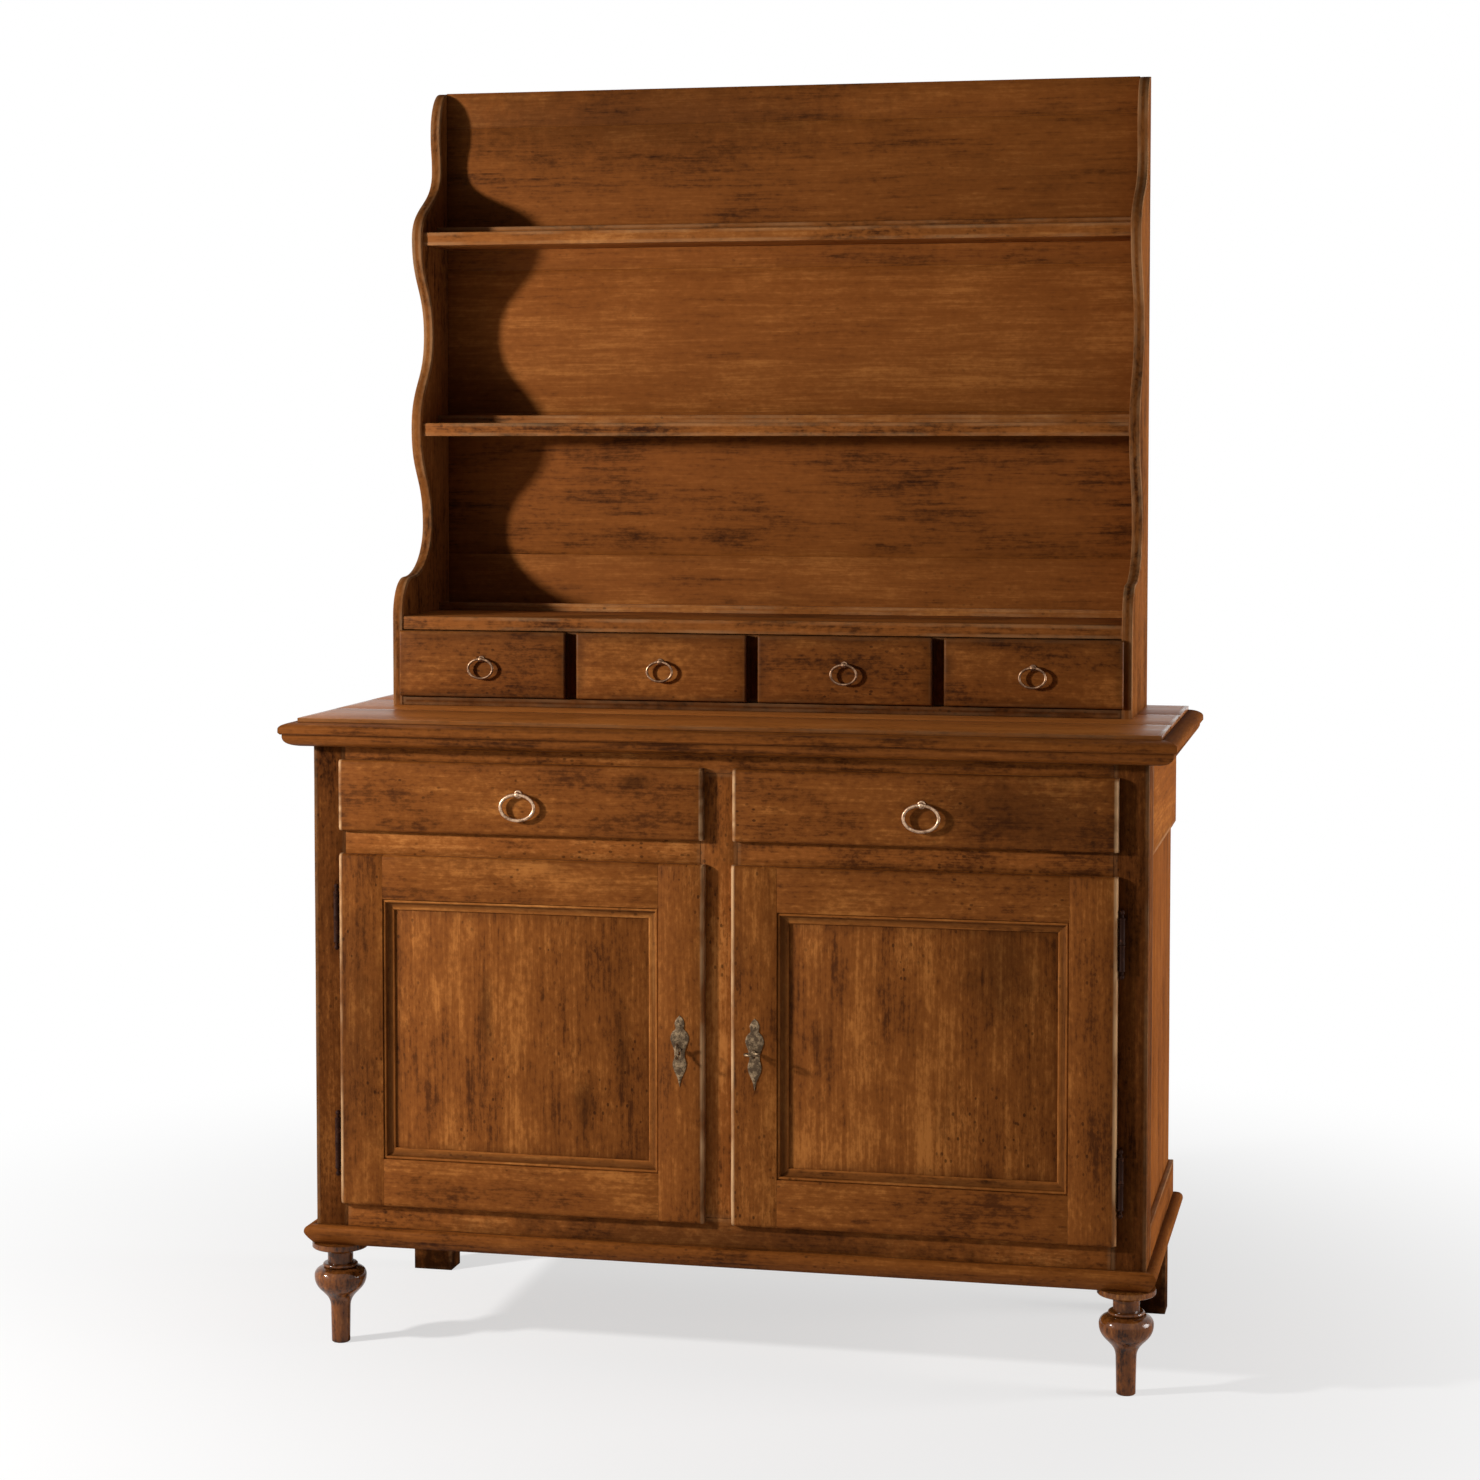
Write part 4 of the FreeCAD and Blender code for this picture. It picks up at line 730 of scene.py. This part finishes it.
def makePull(node, ringBody, face, x, d, seed):
    # a ring pull: a domed rose and stem, a pierced ball, and an oval ring hanging through it
    wire, y, z = d["wire"], d["pullY"], d["pullZ"]
    eye, bore = wire + pull["wall"], wire + pull["play"]
    stem, rim = eye * pull["stem"], eye * pull["rim"]
    dome = bezier([(rim, 0.9), (eye * 1.3, 2.0), (stem, 2.1)], 7)
    profile = np.concatenate(([(rim, 0)], dome, [(stem, face - y - eye * 0.5)]))
    profile[:, 1] *= -1
    rose = lathe((x, face, z), 1, profile, seed, 36)
    opening = math.acos(bore / eye)
    arc = np.linspace(-opening, opening, 13)
    ball = np.stack((eye * np.cos(arc), eye * np.sin(arc)), 1)
    inner = np.stack((np.full(5, bore), np.linspace(ball[-1, 1], ball[0, 1], 5)), 1)[1:-1]
    pierced = lathe((x, y, z), 0, np.concatenate((ball, inner)), seed + 3, 32, closed=True)
    makePiece(node + "Eye", node, [node + "_eye"], d["metal"], [rose, pierced])
    halfLong, halfShort = d["ringWidth"] / 2 - wire, d["ringHeight"] / 2 - wire
    ring = ovalRing((x, y, z - halfShort), (1, 0, 0), (0, 0, 1), halfLong, halfShort, wire, seed + 5)
    makePiece(node + "Ring", ringBody, [node + "_ring"], d["metal"], [ring])


def makeDrawer(label, node, ringBody, d, seed, x, inner, joined=()):
    # a lipped front with its inner board, a box and a ring pull
    low, high = cad(node + "_front")
    lip = lippedFront(low, (high[0], d["lipBack"], high[2]), 0, seed, (0, 3), d["lipRound"],
                      (d["lipRound"], 0.3, 0.4, 0.4), joined=joined)
    makePiece(label + "Front", node, [node + "_front"], d["wood"], [lip, inner])
    boards = boxBoards(node + "_box", d, seed + d["boxSeed"])
    makePiece(label + "Box", node, [node + "_box"], woods["inside"], boards)
    makePull(node, ringBody, low[1], x, d, seed + d["pullSeed"])


wideDrawer = {"lipRound": 6.0, "lipBack": -228.9, "innerZ": (826.0, 917.0), "side": 11.0, "back": 10.0,
              "bottom": 5.0, "rise": 8.0, "groove": 4.0, "wire": 2.7, "ringWidth": 59.0, "ringHeight": 45.0,
              "pullX": 313.25, "pullY": -248.5, "pullZ": 880.5, "boxSeed": 60, "pullSeed": 120,
              "wood": woods["front"], "metal": metals["paleBrass"]}
door = {"stile": 72.0, "rail": 69.0, "bottomRail": 75.0, "lipRound": 6.0, "lipBack": -228.9,
        "clearance": 10.0, "panelY": -229.5, "panelThickness": 8.0, "tongue": 7.0, "bead": 5.0,
        "beadRise": 2.2, "width": 17.0, "noseRun": 2.6, "sink": 2.0, "foot": 3.0, "grimeRun": 2.0,
        "joint": 0.35}


def makeWideDrawers():
    d = wideDrawer
    innerLow, innerTop = d["innerZ"]
    for side, word in sides:
        node = word + "_drawer"
        seed = 3000 + 200 * (side + 1)
        back = cad(node + "_front")[1][1]
        boxLow, boxHigh = cad(node + "_box")
        inner = board((boxLow[0], d["lipBack"] - 1, innerLow), (boxHigh[0], back, innerTop), 0, seed + 9, 0.5)
        makeDrawer(word + "Drawer", node, word + "_ring", d, seed, side * d["pullX"], unworn(inner),
                   bothEnds(2, keepGrimeAndShade))


def doorMoulding(sight, face, seed):
    # four mitred runs round the sight opening: a small bead, a quirk and a hollow that falls to the panel
    d = door
    front, floor, width = face + d["sink"], d["panelY"], d["width"]
    turn = np.linspace(0, np.pi, 9)
    half, rise, step = d["bead"] / 2, d["beadRise"], floor - d["foot"]
    bead = np.stack((half - half * np.cos(turn), front + rise - rise * np.sin(turn)), 1)
    noseStart = (width - d["noseRun"], step)
    hollow = bezier([(d["bead"] + 0.2, front + 2.6), (d["bead"] + 0.5, step + 0.3), noseStart], 9)
    nose = bezier([noseStart, (width, step), (width, step + 2.0)], 5)[1:]
    profile = np.concatenate(([(0, floor)], bead, hollow, nose, [(width, floor)]))
    inset, y = profile.T
    # painted shade in the quirks beside the bead and down the hollow
    dirt_and_shade = np.concatenate(([1.0], np.interp(bead[:, 0], (0, 1.2, 4.0, 5.0), (1.0, 0, 0, 1.0)),
                           np.interp(hollow[:, 0], (5, 10, 14), (1.0, 0.85, 0.2)), np.zeros(4), [1.0]))
    x0, x1, z0, z1 = sight
    corners = [(x0, z0, 1, 1), (x1, z0, -1, 1), (x1, z1, -1, -1), (x0, z1, 1, -1)]
    mitres = [np.stack((x + inX * inset, y, z + inZ * inset), 1) for x, z, inX, inZ in corners]
    return [run(mitres[k], mitres[(k + 1) % 4], 0 if k % 2 == 0 else 2, seed + 41 * k, dirt_and_shade,
                runWobble["door"]) for k in range(4)]


def makeDoors():
    # both doors are worked out on the right, from two stiles and two rails with a lip in front
    d = door
    low, high = cad("right_door_frame")
    (x0, face, z0), (x1, back, z1) = low, high
    sight = (x0 + d["stile"], x1 - d["stile"], z0 + d["bottomRail"], z1 - d["rail"])
    left, right, bottom, top = sight
    lipBack, lipRound, gap, tongue = d["lipBack"], d["lipRound"], d["clearance"], d["tongue"]
    stileEnds, level, ended = (0.4, 0.4, lipRound, 0.3), bothEnds(0, keepGrimeAndShade), bothEnds(0, dropGrimeAndShade)
    # x and z of each board, its grain, its seed, its lipped corner, its ends and the sides without edge wear
    stiles = [(x0, left, z0, z1, 2, 0, 0, stileEnds, level + (("high", 1, dropGrimeAndShade),)),
              (right, x1, z0, z1, 2, 11, 1, stileEnds, level + (("low", 1, dropGrimeAndShade),))]
    rails = [(left, right, z0, bottom, 0, 23, 0, 0.3,
              ended + (("low", 2, keepGrimeAndShade), ("high", 2, dropGrimeAndShade))),
             (left, right, top, z1, 0, 37, 3, 0.3,
              ended + (("low", 2, dropGrimeAndShade), ("high", 2, keepGrimeAndShade)))]
    for side, word in sides:
        seed = 4000 + 500 * (side + 1)
        body = word + "_door"
        boards = []
        for xLow, xHigh, zLow, zHigh, along, offset, corner, ends, joined in stiles + rails:
            boards.append(lippedFront((xLow, face, zLow), (xHigh, lipBack, zHigh), along, seed + offset,
                                      (corner,), lipRound, ends, d["joint"], joined))
        for n, (xLow, xHigh, zLow, zHigh, along, *rest) in enumerate(stiles + rails):
            inner = board((max(xLow, x0 + gap), lipBack - 1, max(zLow, z0 + gap)),
                          (min(xHigh, x1 - gap), back, min(zHigh, z1 - gap)), along, seed + 51 + 10 * n)
            boards.append(unworn(inner))
        makePiece(word + "DoorFrame", body, [body + "_frame"], woods["front"],
                  [mirrored(p, side) for p in boards])
        panel = board((left - tongue, d["panelY"], bottom - tongue),
                      (right + tongue, d["panelY"] + d["panelThickness"], top + tongue), 2, seed + 91, 0.4)
        for key in ("low", "high"):
            panel[key][:, :2] -= (d["width"] + d["grimeRun"]) * mm         # grime and painted shade gather along the moulding
        makePiece(word + "DoorPanel", body, [body + "_panel"], woods["panel"],
                  [mirrored(panel, side)])
        makePiece(word + "DoorMoulding", body, [body + "_moulding"], woods["doorMould"],
                  [mirrored(p, side) for p in doorMoulding(sight, face, seed + 101)])


makeWideDrawers()
makeDoors()
print("drawers and doors made")


# hinges, keyhole plates and keys
hinge = {"x": 611.5, "y": -234.1, "heights": (680.0, 323.0), "split": 0.3, "barrel": 39.85, "waist": 4.5,
         "bead": ((4.2, 0), (5.0, 0.8), (5.0, 2.6), (4.5, 3.4)), "neck": 2.6, "ball": 4.0, "tip": 12.0,
         "pin": 2.5, "bore": 2.55, "boreDepth": 30.3, "pinLength": 30.0, "shank": 2.8,
         "postShank": (2.0, 18.0), "doorShank": (-18.0, -3.6)}


def makeHinges():
    # turned barrels: a ball tip, a thin neck and a beaded barrel; the lower half carries the pin that the
    # upper one turns on
    h = hinge
    arc = np.linspace(-np.pi / 2 + 0.1, 0.9, 12)
    tip = np.stack((h["ball"] * np.cos(arc), h["ball"] * (1 + np.sin(arc)) - h["tip"]), 1)
    barrel, bead = h["barrel"], np.array(h["bead"])
    outer = np.concatenate((tip, [(h["neck"], -2.5), (h["neck"], -0.4)], bead, [(h["waist"], barrel - 3.4)],
                            [(r, barrel - z) for r, z in bead[2::-1]]))
    lower = np.concatenate((outer, [(h["pin"], barrel), (h["pin"], barrel + h["pinLength"])]))
    upper = np.concatenate(([(0.4, h["boreDepth"]), (h["bore"], h["boreDepth"]), (h["bore"], 0.0)],
                            [(r, barrel - z) for r, z in outer[::-1]]))
    postHalves = []
    for side, word in sides:
        doorHalves = []
        for k, height in enumerate(h["heights"]):
            seed = 6000 + 100 * side + 10 * k
            lowStart, highStart = height - h["split"] / 2 - barrel, height + h["split"] / 2
            for halves, start, profile, axis, ends, offset in (
                    (postHalves, lowStart, lower, 1, h["postShank"], 0),
                    (doorHalves, highStart, upper, 0, h["doorShank"], 2)):
                shank = [(h["shank"], end) for end in ends]
                turned = lathe((h["x"], h["y"], start), 2, profile, seed + offset, 28)
                screw = lathe((h["x"], h["y"], start + barrel / 2), axis, shank, seed + offset + 1, 16)
                halves += [mirrored(turned, side), mirrored(screw, side)]
        makePiece(word + "DoorHinges", word + "_door", [word + "_door_hinge_halves"],
                  metals["darkIron"], doorHalves)
    carcassPiece("postHinges", "post_hinge_halves", metals["darkIron"], postHalves)


keyPlate = {"height": 110.0, "width": 29.0, "keyholeShare": 0.53, "x": 58.5, "z": 497.0, "hole": 2.8,
            "slot": 1.4, "slotReach": 9.4, "nails": (38.0, -42.0), "nailStart": 1.2,
            "outline": [(0.0, 0.0), (0.12, 0.22), (0.24, 0.62), (0.33, 0.74), (0.43, 0.55), (0.52, 0.62),
                        (0.61, 0.86), (0.68, 1.0), (0.76, 0.80), (0.82, 0.42), (0.89, 0.52), (0.95, 0.34),
                        (1.0, 0.0)]}


def smoothThrough(points, count):
    # a smooth curve through the points: a cubic on each span, with slopes from the neighbours
    p = np.asarray(points, float)
    p = np.concatenate((2 * p[:1] - p[1:2], p, 2 * p[-1:] - p[-2:-1]))
    t = np.linspace(0, len(p) - 3 - 1e-9, count)
    k = t.astype(int)
    f = (t - k)[:, None]
    a, b, c, e = p[k], p[k + 1], p[k + 2], p[k + 3]
    square, cube = 2 * a - 5 * b + 4 * c - e, 3 * b - a - 3 * c + e
    return 0.5 * (2 * b + (c - a) * f + square * f ** 2 + cube * f ** 3)


def makeKeyPlates():
    # a pierced plate: rings of points between the keyhole's outline and the plate's own, raised in a low dome
    k = keyPlate
    half = smoothThrough(k["outline"], 70)
    right = np.stack((np.maximum(half[:, 1], 0) * k["width"] / 2,
                      (half[:, 0] - k["keyholeShare"]) * k["height"]), 1)
    rim = np.concatenate((right, (right * (-1, 1))[-2:0:-1]))
    angle = np.arctan2(rim[:, 0], rim[:, 1])                    # 0 is up
    slotReach = np.minimum(k["slot"] / np.maximum(np.abs(np.sin(angle)), 1e-6),
                           k["slotReach"] / np.maximum(-np.cos(angle), 1e-6))
    holeRadius = np.where(np.cos(angle) < 0, np.maximum(k["hole"], slotReach), k["hole"])
    hole = np.stack((np.sin(angle), np.cos(angle)), 1) * holeRadius[:, None]
    share = np.array([0, 0, 0.06, 0.2, 0.4, 0.6, 0.8, 0.92, 1.0, 1.0])[:, None, None]
    lift = np.array([0, 1.0, 1.35, 1.5, 1.5, 1.45, 1.3, 1.15, 0.7, 0.0])[:, None]
    flat = hole + share * (rim - hole)
    face = cad("right_door_escutcheon")[1][1]
    points = np.stack((k["x"] + flat[..., 0], face - lift + 0 * flat[..., 0], k["z"] + flat[..., 1]), -1)
    plate = surface(points, 2, 6500, wrapRows=True)
    nail = np.array([(2.2, 0.0), (2.2, -0.4), (1.6, -1.0), (0.3, -1.2)])
    nails = [lathe((k["x"], face - k["nailStart"], k["z"] + z), 1, nail, 6510, 16) for z in k["nails"]]
    for side, word in sides:
        makePiece(word + "KeyPlate", word + "_door", [word + "_door_escutcheon"],
                  metals["plateMetal"], [mirrored(p, side) for p in [plate] + nails])


key = {"shank": 2.4, "bowFront": -269.5, "bowLength": 18.0, "bowWidth": 26.0, "wire": 1.8, "tip": -209.5,
       "bitReach": 9.0, "bitThickness": 2.0, "bitStart": -214.5, "bitEnd": -210.5, "collar": 3.7}


def makeKeys():
    # an oval bow, a collared shank along Y and a bit; the left key stands a quarter turn from the right one
    k = key
    wire, start, end, thick = k["wire"], k["bitStart"], k["bitEnd"], k["bitThickness"] / 2
    middle = k["bowFront"] + k["bowLength"] / 2
    bowEnd = k["bowFront"] + k["bowLength"]
    shank = [(1.0, bowEnd - 2.4), (k["shank"], bowEnd - 1.0), (k["shank"], bowEnd + 0.6),
             (k["collar"], bowEnd + 1.2), (k["collar"], bowEnd + 2.6), (k["shank"], bowEnd + 3.2),
             (k["shank"], k["tip"] - 0.6), (k["shank"] - 0.6, k["tip"])]
    for side, word in sides:
        x, z = side * keyPlate["x"], keyPlate["z"]
        if side > 0:
            wide, low, high = (1, 0, 0), (x, start, z - thick), (x + k["bitReach"], end, z + thick)
        else:
            wide, low, high = (0, 0, 1), (x - thick, start, z - k["bitReach"]), (x + thick, end, z)
        bow = ovalRing((x, middle, z), wide, (0, 1, 0), k["bowWidth"] / 2 - wire, k["bowLength"] / 2 - wire,
                       wire, 6600, 56)
        bit = board(low, high, 1, 6640, 0.3, 0.3, 0.0)
        makePiece(word + "Key", word + "_key", [word + "_key"], metals["plateMetal"],
                  [bow, lathe((x, 0, z), 1, shank, 6620, 24), bit])


makeHinges()
makeKeyPlates()
makeKeys()
print("metalwork made")


# plate rack
rack = {"half": 601.5, "sideThickness": 17.0, "backY": 271.5, "boardsY": 257.5, "floorZ": 992.0,
        "height": 1017.0, "depth": 260.0, "shelfRises": (145.0, 460.0, 775.0),
        "shelfDepths": (258.0, 155.0, 146.0), "shelfThickness": 22.0, "housing": 4.0,
        "stripY": (201.5, 211.5), "stripHeight": 13.0, "topBoard": 59.0, "backBoard": 240.0,
        "floorFront": 11.5, "floorTop": 1006.0, "dividerPitch": 298.75, "dividerHalf": 13.0,
        "dividerFront": 20.5, "dividerTop": 1115.0, "edgeRound": 2.2,
        "shoulder": (208.0, 207.0), "lowerWaist": 105.0, "lowerBelly": 161.0, "upperWaist": 94.0,
        "upperBelly": 154.0, "neck": (47.0, 134.0), "crest": (53.0, 72.0), "crestFlat": 3.0}


def rackEdge():
    # the waved front edge as (depth, height): quarter curves at the shoulder and crest, S-curves between
    k = rack
    low, middle, high = k["shelfRises"]
    halfShelf = k["shelfThickness"] / 2
    places = [(k["lowerWaist"], (low + middle) / 2 - halfShelf), (k["lowerBelly"], middle - halfShelf),
              (k["upperWaist"], (middle + high) / 2 - halfShelf), (k["upperBelly"], high - halfShelf),
              (k["neck"][0], k["height"] - k["neck"][1]), (k["crest"][0], k["height"] - k["crest"][1])]
    corner, shoulder, crown = (k["depth"], low), k["shoulder"], (k["crestFlat"], k["height"])
    parts = [bezier([(k["depth"], 0.0), corner], 5), quarter(corner, shoulder, 1, 18),
             quarter(shoulder, places[0], 0, 22)]
    parts += [wave(a, b, 20) for a, b in zip(places, places[1:])] + [quarter(places[-1], crown, 1, 18)]
    return np.concatenate([parts[0]] + [p[1:] for p in parts[1:]])


def rackSide(seed):
    # a board between a straight back and the waved edge; each row crosses it from back to front and returns,
    # with the front arrises rounded towards the edge's own normal
    k = rack
    edge = rackEdge()
    y, z = k["backY"] - edge[:, 0], k["floorZ"] + edge[:, 1]
    along = np.stack((np.gradient(y), np.gradient(z)), 1)
    along /= np.linalg.norm(along, axis=1, keepdims=True)
    inward = np.stack((along[:, 1], -along[:, 0]), 1)            # towards the back of the board
    inward[0] = inward[1] = (1.0, 0.0)
    r = np.minimum(k["edgeRound"], (k["backY"] - y) * 0.3)[:, None]
    turn = np.linspace(0, np.pi / 2, 5)
    outerX, innerX = k["half"], k["half"] - k["sideThickness"]
    steps = r * (1 - np.sin(turn))                               # how far back from the edge
    fromFace = r * (1 - np.cos(turn))                            # how far in from the face
    frontY, frontZ = y[:, None] + inward[:, :1] * steps, z[:, None] + inward[:, 1:] * steps
    rows = len(y)
    behind, level, ones = np.full((rows, 1), k["backY"]), z[:, None], np.ones((rows, 2))
    half = (behind + frontY[:, :1]) / 2
    ys = np.concatenate((behind, half, frontY, frontY[:, ::-1], half, behind), 1)
    zs = np.concatenate((level, level, frontZ, frontZ[:, ::-1], level, level), 1)
    xs = np.concatenate((outerX * ones, outerX - fromFace, innerX + fromFace[:, ::-1], innerX * ones), 1)
    zs = np.clip(zs, k["floorZ"], k["floorZ"] + k["height"])
    points = np.stack((xs, np.minimum(ys, k["backY"]), zs), -1)
    toEdge = points[..., 1] - y[:, None]
    far = np.full_like(toEdge, 1000.0)
    return surface(points, 2, seed, np.stack((far, points[..., 0] - innerX, toEdge), -1),
                   np.stack((far, outerX - points[..., 0], k["backY"] - points[..., 1]), -1))


def makeRack():
    k = rack
    carcassPiece("rackSides", "rack_sides", woods["rackSide"],
                 [mirrored(rackSide(7000 + seedStep * side), side) for side, word in sides])
    inner = k["half"] - k["sideThickness"]
    boardsY, backY, housed = k["boardsY"], k["backY"], inner + k["housing"]
    stripFront, stripBack = k["stripY"]
    shelves, strips = [], []
    for n, (rise, depth) in enumerate(zip(k["shelfRises"], k["shelfDepths"])):
        top = k["floorZ"] + rise
        shelves.append(board((-housed, backY - depth, top - k["shelfThickness"]), (housed, boardsY, top), 0,
                             7100 + 17 * n, (1.6, 0.5, 0.5, 2.2), 0.3, wobble=0.4))
        strips.append(board((-inner, stripFront, top), (inner, stripBack, top + k["stripHeight"]), 0,
                            7160 + 17 * n, (0.5, 0.5, 2.0, 2.0)))
    carcassPiece("rackShelves", "rack_shelves", woods["rack"], shelves)
    carcassPiece("plateStrips", "plate_strips", woods["rack"], strips)
    top = k["floorZ"] + k["height"]
    levels = [top, top - k["topBoard"]]
    while levels[-1] - k["backBoard"] > k["floorZ"]:
        levels.append(levels[-1] - k["backBoard"])
    levels.append(k["floorZ"])
    boards = [board((-inner, boardsY, low), (inner, backY, high), 0, 7200 + 29 * n, 0.5, 0.3, 0.0)
              for n, (high, low) in enumerate(zip(levels, levels[1:]))]
    carcassPiece("rackBackBoards", "rack_back_boards", woods["back"], boards)
    floorTop = k["floorTop"]
    floor = [board((-inner, k["floorFront"], k["floorZ"]), (inner, boardsY, floorTop), 0, 7301, 1.5, 0.3)]
    for n in (-1, 0, 1):
        x, half = n * k["dividerPitch"], k["dividerHalf"]
        floor.append(board((x - half, k["dividerFront"], floorTop), (x + half, boardsY, k["dividerTop"]), 2,
                           7320 + 13 * n, 0.8, 0.3))
    carcassPiece("rackFloor", "rack_floor", woods["post"], floor)


smallDrawer = {"lipRound": 4.0, "lipBack": 11.1, "innerBack": 21.5, "innerInset": 5.0, "side": 8.0,
               "back": 8.0, "bottom": 4.0, "rise": 5.0, "groove": 4.0, "wire": 2.0, "ringWidth": 45.0,
               "ringHeight": 35.0, "pullY": -3.5, "pullZ": 1069.5, "count": 4, "boxSeed": 40, "pullSeed": 90,
               "wood": woods["small"], "metal": metals["dullBrass"]}


def makeSmallDrawers():
    d = smallDrawer
    inset = d["innerInset"]
    for n in range(1, d["count"] + 1):
        node = f"small_drawer_{n}"
        low, high = cad(node + "_front")
        seed = 8000 + 150 * n
        inner = board((low[0] + inset, d["lipBack"] - 1, low[2]), (high[0] - inset, d["innerBack"], high[2]),
                      0, seed + 9, 0.5)
        makeDrawer(f"smallDrawer{n}", node, f"small_ring_{n}", d, seed, (low[0] + high[0]) / 2, inner)


makeRack()
makeSmallDrawers()
print("rack made")

# inner pieces keep their own solids and take a finish by object coordinates
innerFinishes = dict.fromkeys(("base_floor", "inner_shelf", "drawer_runners"), insideBoards)
innerFinishes["strike_plates"] = metals["plateMetal"]
for side, word in sides:
    innerFinishes.update(dict.fromkeys((word + "_door_lock", word + "_door_bolt"), metals["darkIron"]))
for node, material in innerFinishes.items():
    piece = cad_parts[node]
    if not piece.material_slots:
        piece.data.materials.append(material)
    piece.material_slots[0].material = material


# floor, light and camera, in metres
studio = {"floorRadii": (0.02, 1.0, 2.5, 5.0, 9.0), "floorColour": (0.86, 0.85, 0.84, 1), "ambient": 0.07,
          "target": (0.0, 0.0, 1.05)}
lamps = {"keyLamp": {"place": (-2.75, -1.65, 1.66), "size": 0.25, "power": 122.0},
         "fillLamp": {"place": (4.2, 0.45, 1.0), "size": 2.0, "power": 155.0},
         "sideLamp": {"place": (-3.4, -2.9, 1.3), "size": 1.6, "power": 14.0}}
view = {"place": (1.0397, -4.7383, 1.4257), "pitch": 3.0, "yaw": 12.585, "lens": 74.556, "shiftY": -0.095}


def makeFloor():
    # a flat disc: rings of points round the middle, white for the camera away from the object
    count = 96
    turn = np.linspace(0, 2 * np.pi, count, endpoint=False)
    radii = np.array(studio["floorRadii"])
    points = np.stack((radii[:, None] * np.cos(turn), radii[:, None] * np.sin(turn),
                       np.zeros((len(radii), count))), -1).reshape(-1, 3)
    r, c = np.meshgrid(np.arange(len(radii) - 1), np.arange(count), indexing="ij")
    n = (c + 1) % count
    quads = np.stack((r * count + c, (r + 1) * count + c, (r + 1) * count + n, r * count + n), -1)
    quads = quads.reshape(-1, 4)
    mesh = bpy.data.meshes.new("floor")
    mesh.from_pydata(points.tolist(), [], quads.tolist() + [list(range(count))])
    material, tree = newMaterial("floorPaint")
    away = lengthOf(tree, objectPlace(tree))
    rays = put(tree, "ShaderNodeLightPath")
    seen = maths(tree, "MAXIMUM", rays.outputs["Is Camera Ray"], rays.outputs["Is Transmission Ray"])
    white = times(tree, remap(tree, away, 0.6, 2.2, 0.62, 1.0), seen)
    mirrors = times(tree, remap(tree, away, 2.0, 6.0), rays.outputs["Is Glossy Ray"])
    white = maths(tree, "MAXIMUM", white, mirrors)
    paint = put(tree, "ShaderNodeBsdfDiffuse", {"Color": studio["floorColour"]})
    glow = put(tree, "ShaderNodeEmission", {"Color": (1, 1, 1, 1), "Strength": 1.0})
    mixed = put(tree, "ShaderNodeMixShader", {0: white, 1: paint.outputs[0], 2: glow.outputs[0]})
    put(tree, "ShaderNodeOutputMaterial", {"Surface": mixed.outputs[0]})
    mesh.materials.append(material)
    floor = bpy.data.objects.new("floor", mesh)
    bpy.context.collection.objects.link(floor)


def makeLamp(name, place, size, power):
    data = bpy.data.lights.new(name, "AREA")
    data.shape, data.size, data.energy = "DISK", size, power
    lamp = bpy.data.objects.new(name, data)
    bpy.context.collection.objects.link(lamp)
    lamp.location = place
    aim = np.array(studio["target"]) - np.array(place)
    tilt = math.acos(-aim[2] / np.linalg.norm(aim))
    lamp.rotation_euler = (tilt, 0, math.atan2(aim[1], aim[0]) - math.pi / 2)


def makeWorld():
    # white where it is seen or mirrored, and a lower even light elsewhere
    world = bpy.data.worlds.new("studio")
    bpy.context.scene.world = world
    world.use_nodes = True
    tree = world.node_tree
    tree.nodes.clear()
    rays = put(tree, "ShaderNodeLightPath")
    seen = maths(tree, "MAXIMUM", rays.outputs["Is Camera Ray"], rays.outputs["Is Glossy Ray"])
    seen = maths(tree, "MAXIMUM", seen, rays.outputs["Is Transmission Ray"])
    strength = remap(tree, seen, 0.0, 1.0, studio["ambient"], 1.0)
    back = put(tree, "ShaderNodeBackground", {"Color": (1, 1, 1, 1), "Strength": strength})
    put(tree, "ShaderNodeOutputWorld", {"Surface": back.outputs[0]})


def makeCamera():
    data = bpy.data.cameras.new("photoCamera")
    data.sensor_width, data.lens, data.shift_y = 36.0, view["lens"], view["shiftY"]
    data.clip_start, data.clip_end = 0.05, 100.0
    camera = bpy.data.objects.new("photoCamera", data)
    bpy.context.collection.objects.link(camera)
    camera.location = view["place"]
    camera.rotation_euler = (math.radians(90.0 - view["pitch"]), 0.0, math.radians(view["yaw"]))
    bpy.context.scene.camera = camera


makeFloor()
for name, lamp in lamps.items():
    makeLamp(name, **lamp)
makeWorld()
makeCamera()
bpy.context.scene.view_settings.view_transform = "Standard"
print("studio made")
